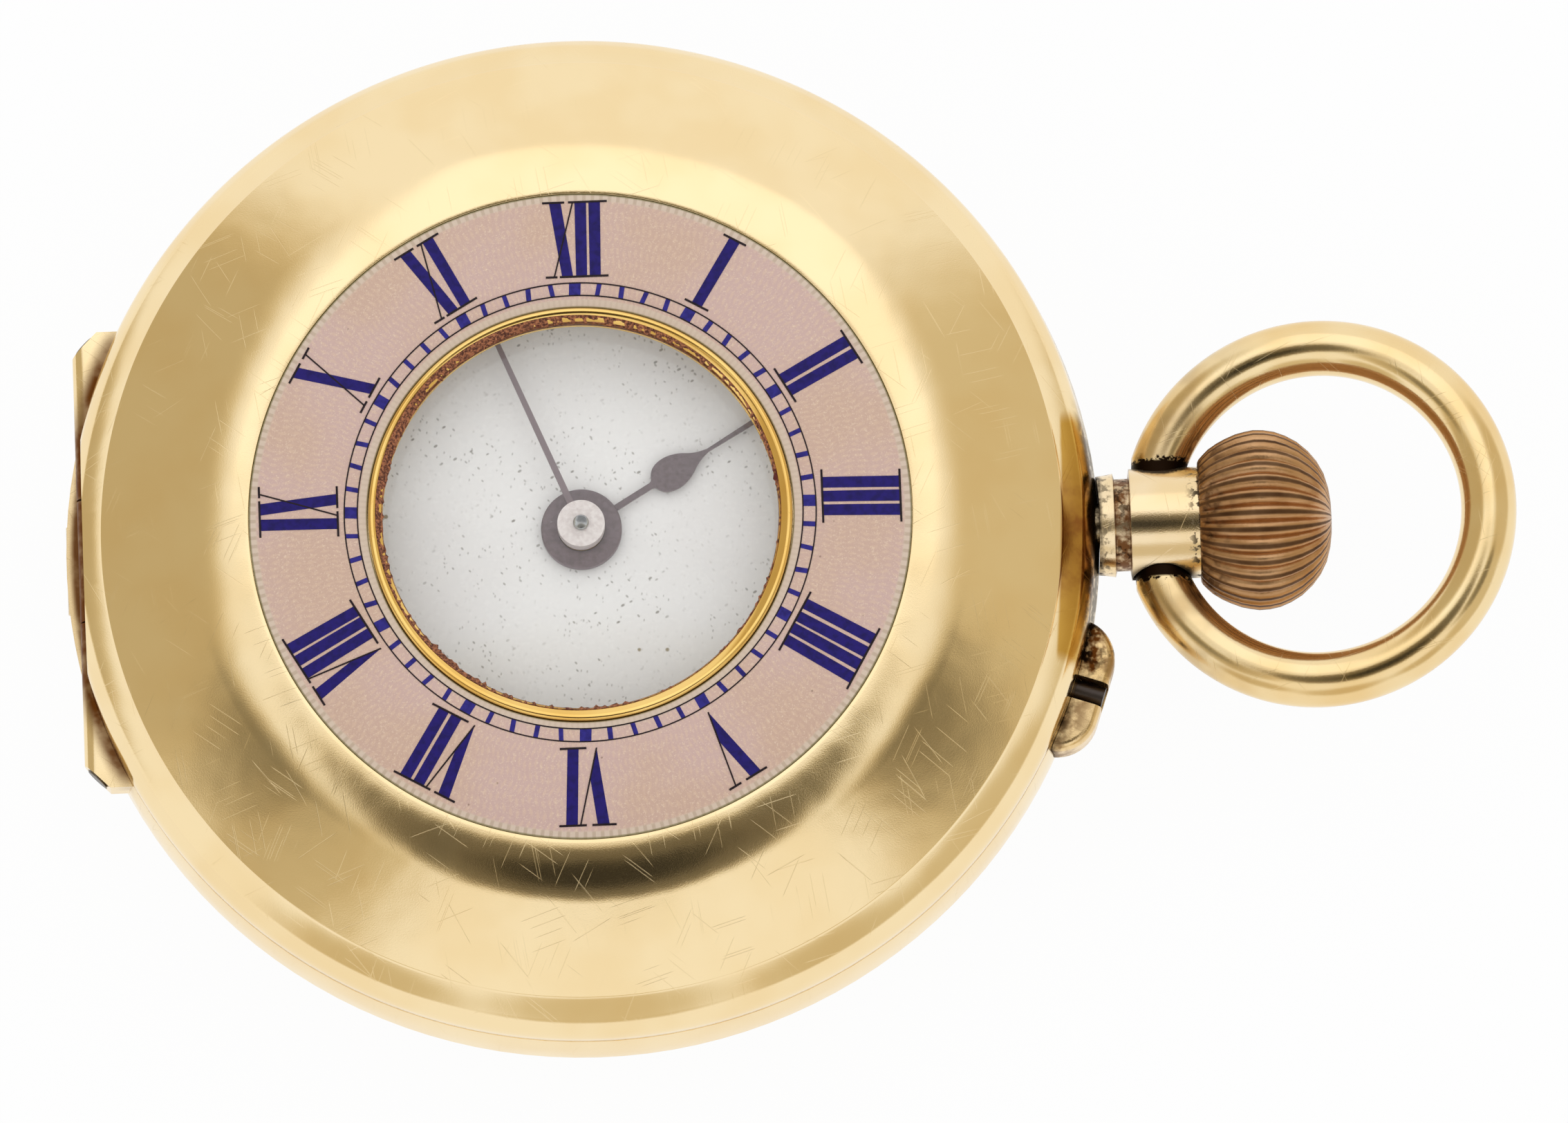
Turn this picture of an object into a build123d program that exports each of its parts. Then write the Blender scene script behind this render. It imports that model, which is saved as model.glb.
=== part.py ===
from build123d import *
import math
import os

# A half hunter pocket watch of ladies' size, lying on its back.
# Millimetres. The hand axis is Z and points up out of the dial, the pendant lies along +X,
# twelve o'clock is +Y, and Z is 0 on the flat of the back.

# Clearances shared by all pieces
overrun = 1.0
seated_gap = 0.01
running_gap = 0.03
seam_gap = 0.03
hinge_gap = 0.05

# Case outline
case_radius = 17.45
lid_inset = 0.15
lid_radius = case_radius - lid_inset
wall = 0.45
back_inset = 0.3
back_radius = case_radius - back_inset
back_dome_run = 7.25
back_flat_radius = back_radius - back_dome_run
back_wall_foot = 3.1
back_seam = 4.2
lid_seam = 6.2
case_bevel = 0.15
case_bevel_height = 0.2

# Case middle, inside
band_width = 2.75
bore_radius = case_radius - band_width
skirt_inset = 1.45
skirt_radius = case_radius - skirt_inset
skirt_foot = 3.4
movement_ledge = 6.3
movement_ledge_width = 0.5
ledge_bore_radius = bore_radius + movement_ledge_width
snap_ring_width = 0.6
snap_ring_radius = ledge_bore_radius + snap_ring_width
snap_ring_top = 6.9
spring_groove_width = 0.5
spring_groove_outer = lid_radius - wall - 2 * hinge_gap
spring_groove_inner = spring_groove_outer - spring_groove_width
spring_groove_floor = 4.9

# Front cover, from the rim up to the window
lid_rim_top = 6.75
lid_shoulder_inset = 0.35
lid_shoulder_radius = lid_radius - lid_shoulder_inset
lid_shoulder_height = 7.45
lid_rim_width = 0.78
lid_step_radius = lid_shoulder_radius - lid_rim_width
lid_step_height = 8.05
lid_step_depth = 0.1
lid_step_run = 0.03
lid_flank_width = 2.77
lid_flank_radius = lid_step_radius - lid_flank_width
lid_flank_height = 9.3
lid_brow_width = 2.26
lid_brow_lift = 0.13
lid_inner_height = 9.2
enamel_outer_radius = lid_flank_radius - lid_brow_width
enamel_outer_height = 9.8
enamel_width = 4.0
enamel_inner_radius = enamel_outer_radius - enamel_width
enamel_inner_height = 9.98
enamel_floor = 9.55
window_ledge = 0.19
window_radius = enamel_inner_radius - window_ledge
bezel_width = 0.32
bezel_inner_radius = enamel_inner_radius - bezel_width
bezel_top = 10.1
bezel_round = 0.12
bezel_lip_width = 0.22
bezel_lip_radius = bezel_inner_radius - bezel_lip_width
bezel_lip_height = 0.15
cement_width = 0.27
cement_inner_radius = bezel_inner_radius - cement_width
cement_top = 9.9
window_glass_inset = 0.07
window_glass_radius = bezel_inner_radius - window_glass_inset
glass_thickness = 0.5
glass_bevel = 0.1

# Front hinge at nine o'clock
lid_chord_inset = 0.65
lid_chord = case_radius - lid_chord_inset
case_chord_inset = 0.75
case_chord = case_radius - case_chord_inset
front_hinge_inset = 0.85
front_hinge_x = front_hinge_inset - case_radius
front_hinge_z = 5.72
front_hinge_radius = 0.42
front_hinge_length = 15.8
front_hinge_middle = 4.2
front_hinge_pin_radius = 0.2
front_hinge_cap_radius = 0.3
front_hinge_cap = 0.05
front_hinge_end_cut = 0.85
front_hinge_end_angle = 45
front_hinge_relief = 0.58
front_hinge_web = 0.4
front_hinge_shelf = 5.15

# Back hinge below it
back_hinge_inset = 0.3
back_hinge_x = back_hinge_inset - case_radius
back_hinge_z = 4.55
back_hinge_radius = 0.3
back_hinge_length = 3.0
back_hinge_middle = 1.1
back_hinge_pin_radius = 0.14
back_hinge_web = 0.3

# Cuvette, the inner back
cuvette_radius = skirt_radius - 2 * hinge_gap
cuvette_dome_run = 7.9
cuvette_flat_radius = cuvette_radius - cuvette_dome_run
cuvette_wall = 0.35
cuvette_foot = 1.55
cuvette_wall_foot = 2.7
cuvette_hinge_inset = 1.3
cuvette_hinge_x = cuvette_hinge_inset - case_radius
cuvette_hinge_z = 3.75
cuvette_hinge_radius = 0.28
cuvette_hinge_length = 5.2
cuvette_hinge_middle = 2.4
cuvette_hinge_pin_radius = 0.12
cuvette_hinge_web = 0.5
cuvette_lug_inset = 0.7

# Inner bezel and its low domed glass
inner_bezel_skirt = 0.35
inner_bezel_radius = snap_ring_radius + hinge_gap + inner_bezel_skirt
inner_bezel_shoulder = 6.95
inner_bezel_slope_width = 1.2
inner_bezel_crest_radius = inner_bezel_radius - inner_bezel_slope_width
inner_bezel_crest = 7.95
inner_bezel_crest_width = 0.4
dial_glass_radius = inner_bezel_crest_radius - inner_bezel_crest_width
inner_bezel_lip_width = 0.45
inner_bezel_lip_radius = dial_glass_radius - inner_bezel_lip_width
inner_bezel_lip = 0.12
dial_glass_edge = 7.68
dial_glass_crown = 8.88
dial_glass_thickness = 0.22

# Dial and hands
dial_radius = bore_radius - 3 * hinge_gap
dial_foot = 6.95
dial_top = 7.5
dial_hole_radius = 1.0
dial_peg_radius = 0.4
dial_peg_length = 0.9
dial_peg_inset = 3.05
dial_peg_reach = dial_radius - dial_peg_inset
dial_peg_angles = (120, 260)
hour_boss_radius = 1.38
hour_boss_foot = 7.6
hour_boss_top = 7.95
hour_blade_foot = 7.7
hour_blade_thickness = 0.13
minute_boss_radius = 0.8
minute_boss_foot = 8.15
minute_boss_top = 8.7
minute_blade_foot = 8.2
minute_blade_thickness = 0.12
minute_blade_width = 0.23
minute_tip_width = 0.14
minute_reach = 11.0
minute_bend = 7.2
minute_droop = 0.37
hour_angle = 58.0
minute_angle = 337.9
hour_neck_width = 0.19
hour_stalk_width = 0.26
hour_tip_width = 0.16
hour_spade_reaches = (3.76, 8.15)
hour_spade_lengths = (2.1, 1.5)
hour_spade_widths = (0.98, 0.8)
hour_reach = 8.9

# Pendant, crown, bow and push-piece
stem_height = 5.4
pendant_root_sink = 0.25
pendant_root_radius = 1.64
pendant_collar_reach = 0.5
pendant_collar_radius = 1.75
pendant_groove_reach = 1.0
pendant_groove_radius = 1.56
pendant_slope = 0.05
pendant_radius = 1.88
pendant_reach = 3.45
pendant_profile = (
    (case_radius - pendant_root_sink, pendant_root_radius),
    (case_radius + pendant_collar_reach, pendant_collar_radius),
    (case_radius + pendant_collar_reach + pendant_slope, pendant_groove_radius),
    (case_radius + pendant_groove_reach, pendant_groove_radius),
    (case_radius + pendant_groove_reach + pendant_slope, pendant_radius),
    (case_radius + pendant_reach, pendant_radius),
)
pendant_bore_radius = 0.55
pendant_spigot_radius = 0.7
pendant_spigot_length = 2.05
pendant_spigot_inner = case_radius - pendant_spigot_length
pendant_edge = 0.1
crown_skirt_lap = 0.2
crown_foot = case_radius + pendant_reach - crown_skirt_lap
crown_length = 4.6
crown_radius = 3.05
crown_flutes = 32
crown_flute_depth = 0.15
crown_bore_radius = 1.95
crown_bore_depth = 0.9
crown_stroke = 0.2
crown_pipe_reach = 2.4
bow_pivot_reach = 2.05
bow_pivot = case_radius + bow_pivot_reach
bow_wire_radius = 0.94
bow_ring_radius = 5.75
bow_ring_offset = 5.4
bow_tilt = 6.0
bow_peg_radius = 0.5
bow_peg_inner = 0.8
bow_seat = 1.15
push_angle = -19.0
push_pin_radius = 0.36
push_pin_proud = 0.9
push_pin_outer = case_radius + push_pin_proud
push_stroke = 0.5
guard_lobe_radius = 1.4
guard_lobe_sink = 0.45
guard_lobe_reach = case_radius - guard_lobe_sink
guard_lobe_spread = 4.7
guard_foot = 4.6
guard_top = 6.0
guard_round = 0.3

# Movement levels, from the plate's dial side down to the bridges
plate_radius = bore_radius - 2 * hinge_gap
plate_foot = 5.1
plate_top = 6.55
plate_flange_radius = ledge_bore_radius - 2 * hinge_gap
plate_rim_width = 1.7
plate_rim_radius = plate_flange_radius - plate_rim_width
train_recess_top = 6.15
fourth_recess_top = 5.7
bridge_foot = 3.45
bridge_top = 4.1
bridge_inset = 0.7
bridge_radius = plate_radius - bridge_inset
bridge_foot_width = 1.45
bridge_rest = bridge_radius - bridge_foot_width
cock_foot = 4.27
cock_top = 4.7
balance_cock_foot = 2.7
balance_cock_top = 3.15
wheel_top_foot = 3.1
wheel_top_top = 3.4
screw_radius = 0.35
screw_head_radius = 0.6
screw_head_height = 0.3
screw_length = 1.6
screw_slot = 0.14
screw_slot_depth = 0.12

# Places of the arbors in plan
centre = (0.0, 0.0)
barrel_at = (3.15, 5.456)
third_at = (0.451, -5.155)
fourth_at = (-3.734, -4.417)
escape_at = (-5.494, -1.369)
balance_at = (-7.2, 4.7)
pallet_reach = 2.43
crown_wheel_at = (10.0, 0.0)
minute_wheel_at = (2.719, -1.268)
setting_wheel_at = (6.243, 0.015)
lever_pivot_at = (11.13, -6.37)
lever_stud_inset = 2.0
lever_stud_reach = plate_radius - lever_stud_inset
push_pin_lead = 0.4
push_pin_inner = lever_stud_reach + push_pin_lead
cock_rest_at = (-3.0, 12.0)
escape_rest_at = (-12.4, -2.4)
pallet_rest_at = (-12.6, 1.2)

# Going train: teeth and levels
barrel_teeth = 80
centre_pinion_leaves = 10
centre_teeth = 80
third_pinion_leaves = 10
third_teeth = 75
fourth_pinion_leaves = 10
fourth_teeth = 80
escape_pinion_leaves = 8
escape_teeth = 15
barrel_foot = 4.2
barrel_top = 5.8
barrel_rim_foot = 4.25
barrel_rim_top = 4.55
barrel_wall = 0.35
barrel_gap = 0.26
centre_pinion_foot = 4.2
centre_pinion_top = 4.9
centre_wheel_foot = 5.9
centre_wheel_top = 6.05
third_wheel_foot = 4.65
third_wheel_top = 4.8
third_pinion_top = 6.1
fourth_pinion_foot = 4.5
fourth_wheel_foot = 5.4
fourth_wheel_top = 5.55
escape_wheel_foot = 4.88
escape_wheel_top = 5.0
escape_pinion_foot = 5.3
escape_pinion_top = 5.65
escape_radius = 2.1
arbor_radius = 0.22
pivot_radius = 0.1
jewel_radius = 0.45
jewel_thickness = 0.2
recess_gap = 0.15

# Tooth form, as shares of the module or of one pitch
wheel_addendum_share = 0.85
pinion_addendum_share = 0.7
dedendum_share = 1.35
wheel_root_share = 0.46
wheel_pitch_share = 0.38
wheel_tip_share = 0.12
leaf_root_share = 0.26
leaf_pitch_share = 0.3
leaf_tip_share = 0.14

# Winding work
winding_teeth = 16
contrate_teeth = 26
crown_spur_teeth = 36
ratchet_teeth = 56
winding_pinion_radius = 1.45
winding_face_length = 0.8
winding_hub_length = 0.5
winding_hub_radius = 1.0
contrate_radius = 2.0
winding_pinion_inner = crown_wheel_at[0] + contrate_radius - winding_face_length / 2
winding_pinion_shoulder = winding_pinion_inner + winding_face_length
winding_pinion_outer = winding_pinion_shoulder + winding_hub_length
contrate_width = 0.5
contrate_top = 4.25
contrate_root = 3.85
crown_pad_radius = 2.65
crown_pad_top = 4.95
crown_core_radius = 1.4
stem_square = 0.7
stem_radius = 0.5
stem_pivot_radius = 0.28
castle_rest_gap = 0.3
castle_length = 1.1
castle_outer = winding_pinion_inner - castle_rest_gap
castle_inner = castle_outer - castle_length
stem_square_lead = 1.3
stem_square_inner = castle_inner - stem_square_lead
stem_pivot_length = 1.1
stem_pivot_inner = stem_square_inner - stem_pivot_length
castle_radius = 0.82
castle_groove = 0.25
castle_groove_depth = 0.2
castle_teeth = 10

# Motion work under the dial
motion_foot = 6.6
motion_top = 6.72
hour_wheel_foot = 6.78
hour_wheel_top = 6.9
cannon_leaves = 12
minute_teeth = 36
minute_pinion_leaves = 10
hour_teeth = 40
setting_teeth = 24
centre_post_radius = 0.25
centre_post_top = 8.8
cannon_radius = 0.46
cannon_top = 8.6
hour_pipe_radius = 0.78
hour_pipe_bore = 0.52
stud_radius = 0.3
lever_foot = 6.6
lever_top = 6.75

# Escapement, balance and springs
fork_width = 0.3
fork_stone_reach = 2.42
balance_radius = 4.5
balance_rim_width = 0.4
balance_foot = 3.55
balance_top = 4.15
balance_arm_width = 0.6
balance_arm_thickness = 0.25
balance_screws = 14
balance_screw_radius = 0.17
balance_screw_length = 0.22
roller_radius = 0.6
roller_foot = 4.55
roller_top = 4.7
impulse_pin_radius = 0.07
impulse_pin_top = 4.98
impulse_pin_reach = 0.45
hairspring_foot = 3.22
hairspring_top = 3.34
hairspring_width = 0.05
hairspring_pitch = 0.26
hairspring_inner = 0.5
hairspring_half_turns = 14
collet_radius = 0.45
mainspring_width = 0.09
mainspring_pitch = 0.24
mainspring_half_turns = 18
barrel_arbor_radius = 1.1
regulator_foot = 2.45
regulator_thickness = 0.18
regulator_length = 3.0
regulator_ring_radius = 1.0
lift_spring_angles = (-150, -28)
lock_spring_angles = (12, 150)
case_spring_thickness = 0.35
case_spring_foot = 5.0
case_spring_top = 6.05
lock_nose_height = 0.35
spring_screw_inset = 5.0
case_screw_inset = 0.5
case_screw_reach = plate_radius - case_screw_inset
case_screw_angles = (118, -28)
case_screw_head = 0.9

# Small parts of the case
spring_screw_radius = 0.1
spring_screw_head = 0.16
push_bore = push_pin_radius + hinge_gap
spring_tip_spread = 4
spring_room = 1

# Bridges and cocks
bridge_screw_reach = bridge_radius - bridge_foot_width / 2
barrel_bridge_angles = (-5, 94)
train_bridge_angles = (205, 325)
barrel_screw_angles = (30, 78)
train_screw_angles = (214, 290)
centre_web_radius = 0.38
barrel_pivot_radius = 0.5
barrel_pivot_depth = 0.25
centre_boss_radius = 1.9
barrel_top_pivot_radius = 0.8
cock_arm_radius = 0.8
cock_rest_radius = 1.2
balance_arm_radius = 1.3
balance_rest_radius = 1.5
barrel_bridge_foot_inset = 14

# Small parts of the movement
ratchet_square_radius = 0.65
fork_stone_angle = 30
fork_horn_spread = 0.3
fork_clearance = 0.82
regulator_heading = -100
contrate_tooth_share = 0.3
click_heading = 30
click_spread = 22
click_tip_radius = 0.12
click_hub_radius = 0.62
lever_hub_radius = 0.5
lever_stud_radius = 0.28
lever_tip_radius = 0.25
lever_tip_share = 0.9


def polar(radius, degrees):
    """A point in plan at a radius and an angle counted from +X."""
    return (radius * math.cos(math.radians(degrees)), radius * math.sin(math.radians(degrees)))


def between(one, other):
    """The distance from one place in plan to another, and its direction in degrees."""
    run, rise = other[0] - one[0], other[1] - one[1]
    return math.hypot(run, rise), math.degrees(math.atan2(rise, run))


def disc(radius, low, high, at=centre):
    """An upright cylinder between two levels."""
    rising = (Align.CENTER, Align.CENTER, Align.MIN)
    return Pos(at[0], at[1], low) * Cylinder(radius, high - low, align=rising)


def ring(outer, inner, low, high, at=centre):
    """An upright tube between two levels."""
    return disc(outer, low, high, at) - disc(inner, low - overrun, high + overrun, at)


def stack(at, *steps):
    """Upright cylinders of one piece, each given as a radius and two levels."""
    solid = disc(*steps[0], at)
    for step in steps[1:]:
        solid += disc(*step, at)
    return solid


def block(x_low, x_high, y_low, y_high, z_low, z_high):
    """A box between two corners."""
    size = (x_high - x_low, y_high - y_low, z_high - z_low)
    return Pos(x_low, y_low, z_low) * Box(*size, align=(Align.MIN, Align.MIN, Align.MIN))


def rod_x(radius, low, high, y=0, z=stem_height):
    """A cylinder along X."""
    rising = (Align.CENTER, Align.CENTER, Align.MIN)
    return Pos(low, y, z) * Rot(0, 90, 0) * Cylinder(radius, high - low, align=rising)


def rod_y(radius, low, high, x, z):
    """A cylinder along Y."""
    rising = (Align.CENTER, Align.CENTER, Align.MIN)
    return Pos(x, low, z) * Rot(-90, 0, 0) * Cylinder(radius, high - low, align=rising)


def turned(*edges):
    """A solid turned about the hand axis from edges in the radius and level plane."""
    return revolve(Face(Wire(list(edges))), Axis.Z)


def lathe(points):
    """A solid turned about the hand axis from a closed list of radius and level pairs."""
    corners = [Vector(r, 0, z) for r, z in points]
    return revolve(Face(Wire.make_polygon(corners)), Axis.Z)


def lathe_x(points):
    """A solid turned about the stem from a list of place along X and radius."""
    corners = [Vector(x, 0, stem_height + r) for x, r in points]
    ends = [Vector(points[-1][0], 0, stem_height), Vector(points[0][0], 0, stem_height)]
    axis = Axis((0, 0, stem_height), (1, 0, 0))
    return revolve(Face(Wire.make_polygon(corners + ends)), axis)


def plan(points, low, high):
    """A flat piece with straight sides between two levels."""
    corners = [Vector(x, y, low) for x, y in points]
    return extrude(Face(Wire.make_polygon(corners)), high - low, dir=(0, 0, 1))


def sector(radius, start, end, low, high):
    """A slice of a disc between two angles."""
    reach = radius * 2
    steps = max(2, math.ceil((end - start) / 45))
    fan = [polar(reach, start + (end - start) * k / steps) for k in range(steps + 1)]
    return disc(radius, low, high) & plan([centre] + fan, low, high)


def strap(one, other, one_radius, other_radius, low, high):
    """A flat arm with a round end at each of two places."""
    length, heading = between(one, other)
    lean = math.degrees(math.acos((one_radius - other_radius) / length))
    corners = [
        polar(one_radius, heading + lean),
        polar(one_radius, heading - lean),
        polar(other_radius, heading - lean),
        polar(other_radius, heading + lean),
    ]
    middle = [one, one, other, other]
    points = [(x + m[0], y + m[1]) for (x, y), m in zip(corners, middle)]
    arm = plan(points, low, high)
    return arm + disc(one_radius, low, high, one) + disc(other_radius, low, high, other)


def toothed(teeth, module, low, high, at, heading, pinion=False, in_gap=False):
    """A spur wheel or pinion with one tooth, or one gap, pointing at a heading."""
    addendum = (pinion_addendum_share if pinion else wheel_addendum_share) * module
    radii = (teeth * module / 2 - dedendum_share * module, teeth * module / 2)
    radii += (teeth * module / 2 + addendum,)
    wheel_shares = (wheel_root_share, wheel_pitch_share, wheel_tip_share)
    leaf_shares = (leaf_root_share, leaf_pitch_share, leaf_tip_share)
    shares = leaf_shares if pinion else wheel_shares
    pitch = 360 / teeth
    start = heading + (pitch / 2 if in_gap else 0)
    points = []
    for tooth in range(teeth):
        middle = start + tooth * pitch
        points += [polar(r, middle - s * pitch / 2) for r, s in zip(radii, shares)]
        points += [polar(r, middle + s * pitch / 2) for r, s in zip(radii[::-1], shares[::-1])]
    return plan([(x + at[0], y + at[1]) for x, y in points], low, high)


def crossed(wheel, at, hub, rim, arms, width, low, high):
    """A wheel with the spaces between its arms cut away."""
    windows = ring(rim, hub, low - overrun, high + overrun, at)
    for arm in range(arms):
        bar = block(0, rim + overrun, -width / 2, width / 2, low - overrun, high + overrun)
        windows -= Pos(at[0], at[1], 0) * Rot(0, 0, arm * 360 / arms) * bar
    return wheel - windows


def spiral(at, inner, pitch, half_turns, width, low, high):
    """A ribbon wound in half circles that step out by half a pitch."""

    def side(shift):
        arcs = []
        for turn in range(half_turns):
            radius = inner + turn * pitch / 2 + shift
            middle = at[0] + (turn % 2) * pitch / 2
            sign = 1 if turn % 2 == 0 else -1
            start = (middle + sign * radius, at[1], low)
            top = (middle, at[1] + sign * radius, low)
            end = (middle - sign * radius, at[1], low)
            arcs.append(ThreePointArc(start, top, end))
        return arcs

    outer, inner_side = side(width / 2), side(-width / 2)
    caps = [
        Line(outer[0] @ 0, inner_side[0] @ 0),
        Line(outer[-1] @ 1, inner_side[-1] @ 1),
    ]
    face = Face(Wire(outer + inner_side + caps))
    return extrude(face, high - low, dir=(0, 0, 1))


def shell(flat, rim, foot, wall_foot, top, thickness):
    """A cover with a flat middle that curves up into an upright rim, open at the top."""
    curve = ((rim - flat) ** 2 + (wall_foot - foot) ** 2) / (2 * (wall_foot - foot))
    middle = Vector(flat, 0, foot + curve)

    def arc(radius, reach):
        lean = math.asin((reach - flat) / radius)
        ends = []
        for share in (0, 0.5, 1):
            angle = lean * share
            ends.append(middle + Vector(radius * math.sin(angle), 0, -radius * math.cos(angle)))
        return ThreePointArc(*ends)

    outside = arc(curve, rim)
    inside = arc(curve - thickness, rim - thickness)
    return turned(
        Line((0, 0, foot), outside @ 0),
        outside,
        Line(outside @ 1, (rim, 0, top)),
        Line((rim, 0, top), (rim - thickness, 0, top)),
        Line((rim - thickness, 0, top), inside @ 1),
        inside,
        Line(inside @ 0, (0, 0, foot + thickness)),
        Line((0, 0, foot + thickness), (0, 0, foot)),
    )


def screw(at, under_head, length, head_radius=screw_head_radius, radius=screw_radius):
    """A slotted screw driven from the back, its head below a level and its body above it."""
    low = under_head - screw_head_height
    solid = disc(head_radius, low, under_head, at) + disc(radius, under_head, under_head + length, at)
    slot = block(
        at[0] - head_radius,
        at[0] + head_radius,
        at[1] - screw_slot / 2,
        at[1] + screw_slot / 2,
        low - screw_slot_depth,
        low + screw_slot_depth,
    )
    return solid - slot


def knuckles(length, middle, radius, x, z):
    """The middle knuckle of a hinge, and the pair of outer ones."""
    half, end = middle / 2, length / 2
    inner = rod_y(radius, -half, half, x, z)
    outer = rod_y(radius, half + hinge_gap, end, x, z)
    outer += rod_y(radius, -end, -half - hinge_gap, x, z)
    return inner, outer


def hinge_pin(length, radius, x, z):
    """A plain hinge pin."""
    return rod_y(radius, -length / 2, length / 2, x, z)


def slanted_end(side, proud=0):
    """What is filed off one end of the front hinge, where its tube runs past the round case."""
    step = proud / math.cos(math.radians(front_hinge_end_angle))
    x = front_hinge_x - front_hinge_radius
    y = side * (front_hinge_length / 2 - front_hinge_end_cut + step)
    size = 4 * front_hinge_end_cut
    level = front_hinge_z + front_hinge_radius + overrun
    outward = (Align.MIN, Align.CENTER, Align.MAX)
    heading = 180 - side * front_hinge_end_angle
    return Pos(x, y, level) * Rot(0, 0, heading) * Box(size, size, level, align=outward)


def front_hinge_pin():
    """The front cover's hinge pin, with wider ends filed flush with the slanted knuckles."""
    end = front_hinge_length / 2 + front_hinge_cap
    pin = rod_y(front_hinge_pin_radius, -end, end, front_hinge_x, front_hinge_z)
    head = end - 2 * front_hinge_end_cut
    for side in (-1, 1):
        near, far = sorted((side * head, side * end))
        pin += rod_y(front_hinge_cap_radius, near, far, front_hinge_x, front_hinge_z)
        pin -= slanted_end(side, front_hinge_cap)
    return pin


def spring_groove(start, end):
    """The room for a flat case spring between two angles."""
    near, far = start - spring_room, end + spring_room
    deep = sector(spring_groove_outer, near, far, spring_groove_floor, lid_seam + overrun)
    return deep - disc(spring_groove_inner, spring_groove_floor - overrun, lid_seam + 2 * overrun)


def case_spring(start, end):
    """A flat spring in its groove, fixed at the end next to the hinge."""
    inner = spring_groove_inner + hinge_gap
    outer = inner + case_spring_thickness
    blade = sector(outer, start, end, case_spring_foot, case_spring_top)
    return blade - disc(inner, case_spring_foot - overrun, case_spring_top + overrun)


def spring_screw_places():
    """Where the case springs are screwed down."""
    middle = spring_groove_inner + hinge_gap + case_spring_thickness / 2
    angles = (lock_spring_angles[1] - spring_screw_inset, lift_spring_angles[0] + spring_screw_inset)
    return [polar(middle, angle) for angle in angles]


# Case

pin_line = Pos(0, 0, stem_height) * Rot(0, 0, push_angle) * Rot(0, 90, 0)


def radial_rod(radius, low, high):
    """A cylinder along the push-piece's line."""
    rising = (Align.CENTER, Align.CENTER, Align.MIN)
    return pin_line * Pos(0, 0, low) * Cylinder(radius, high - low, align=rising)


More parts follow.
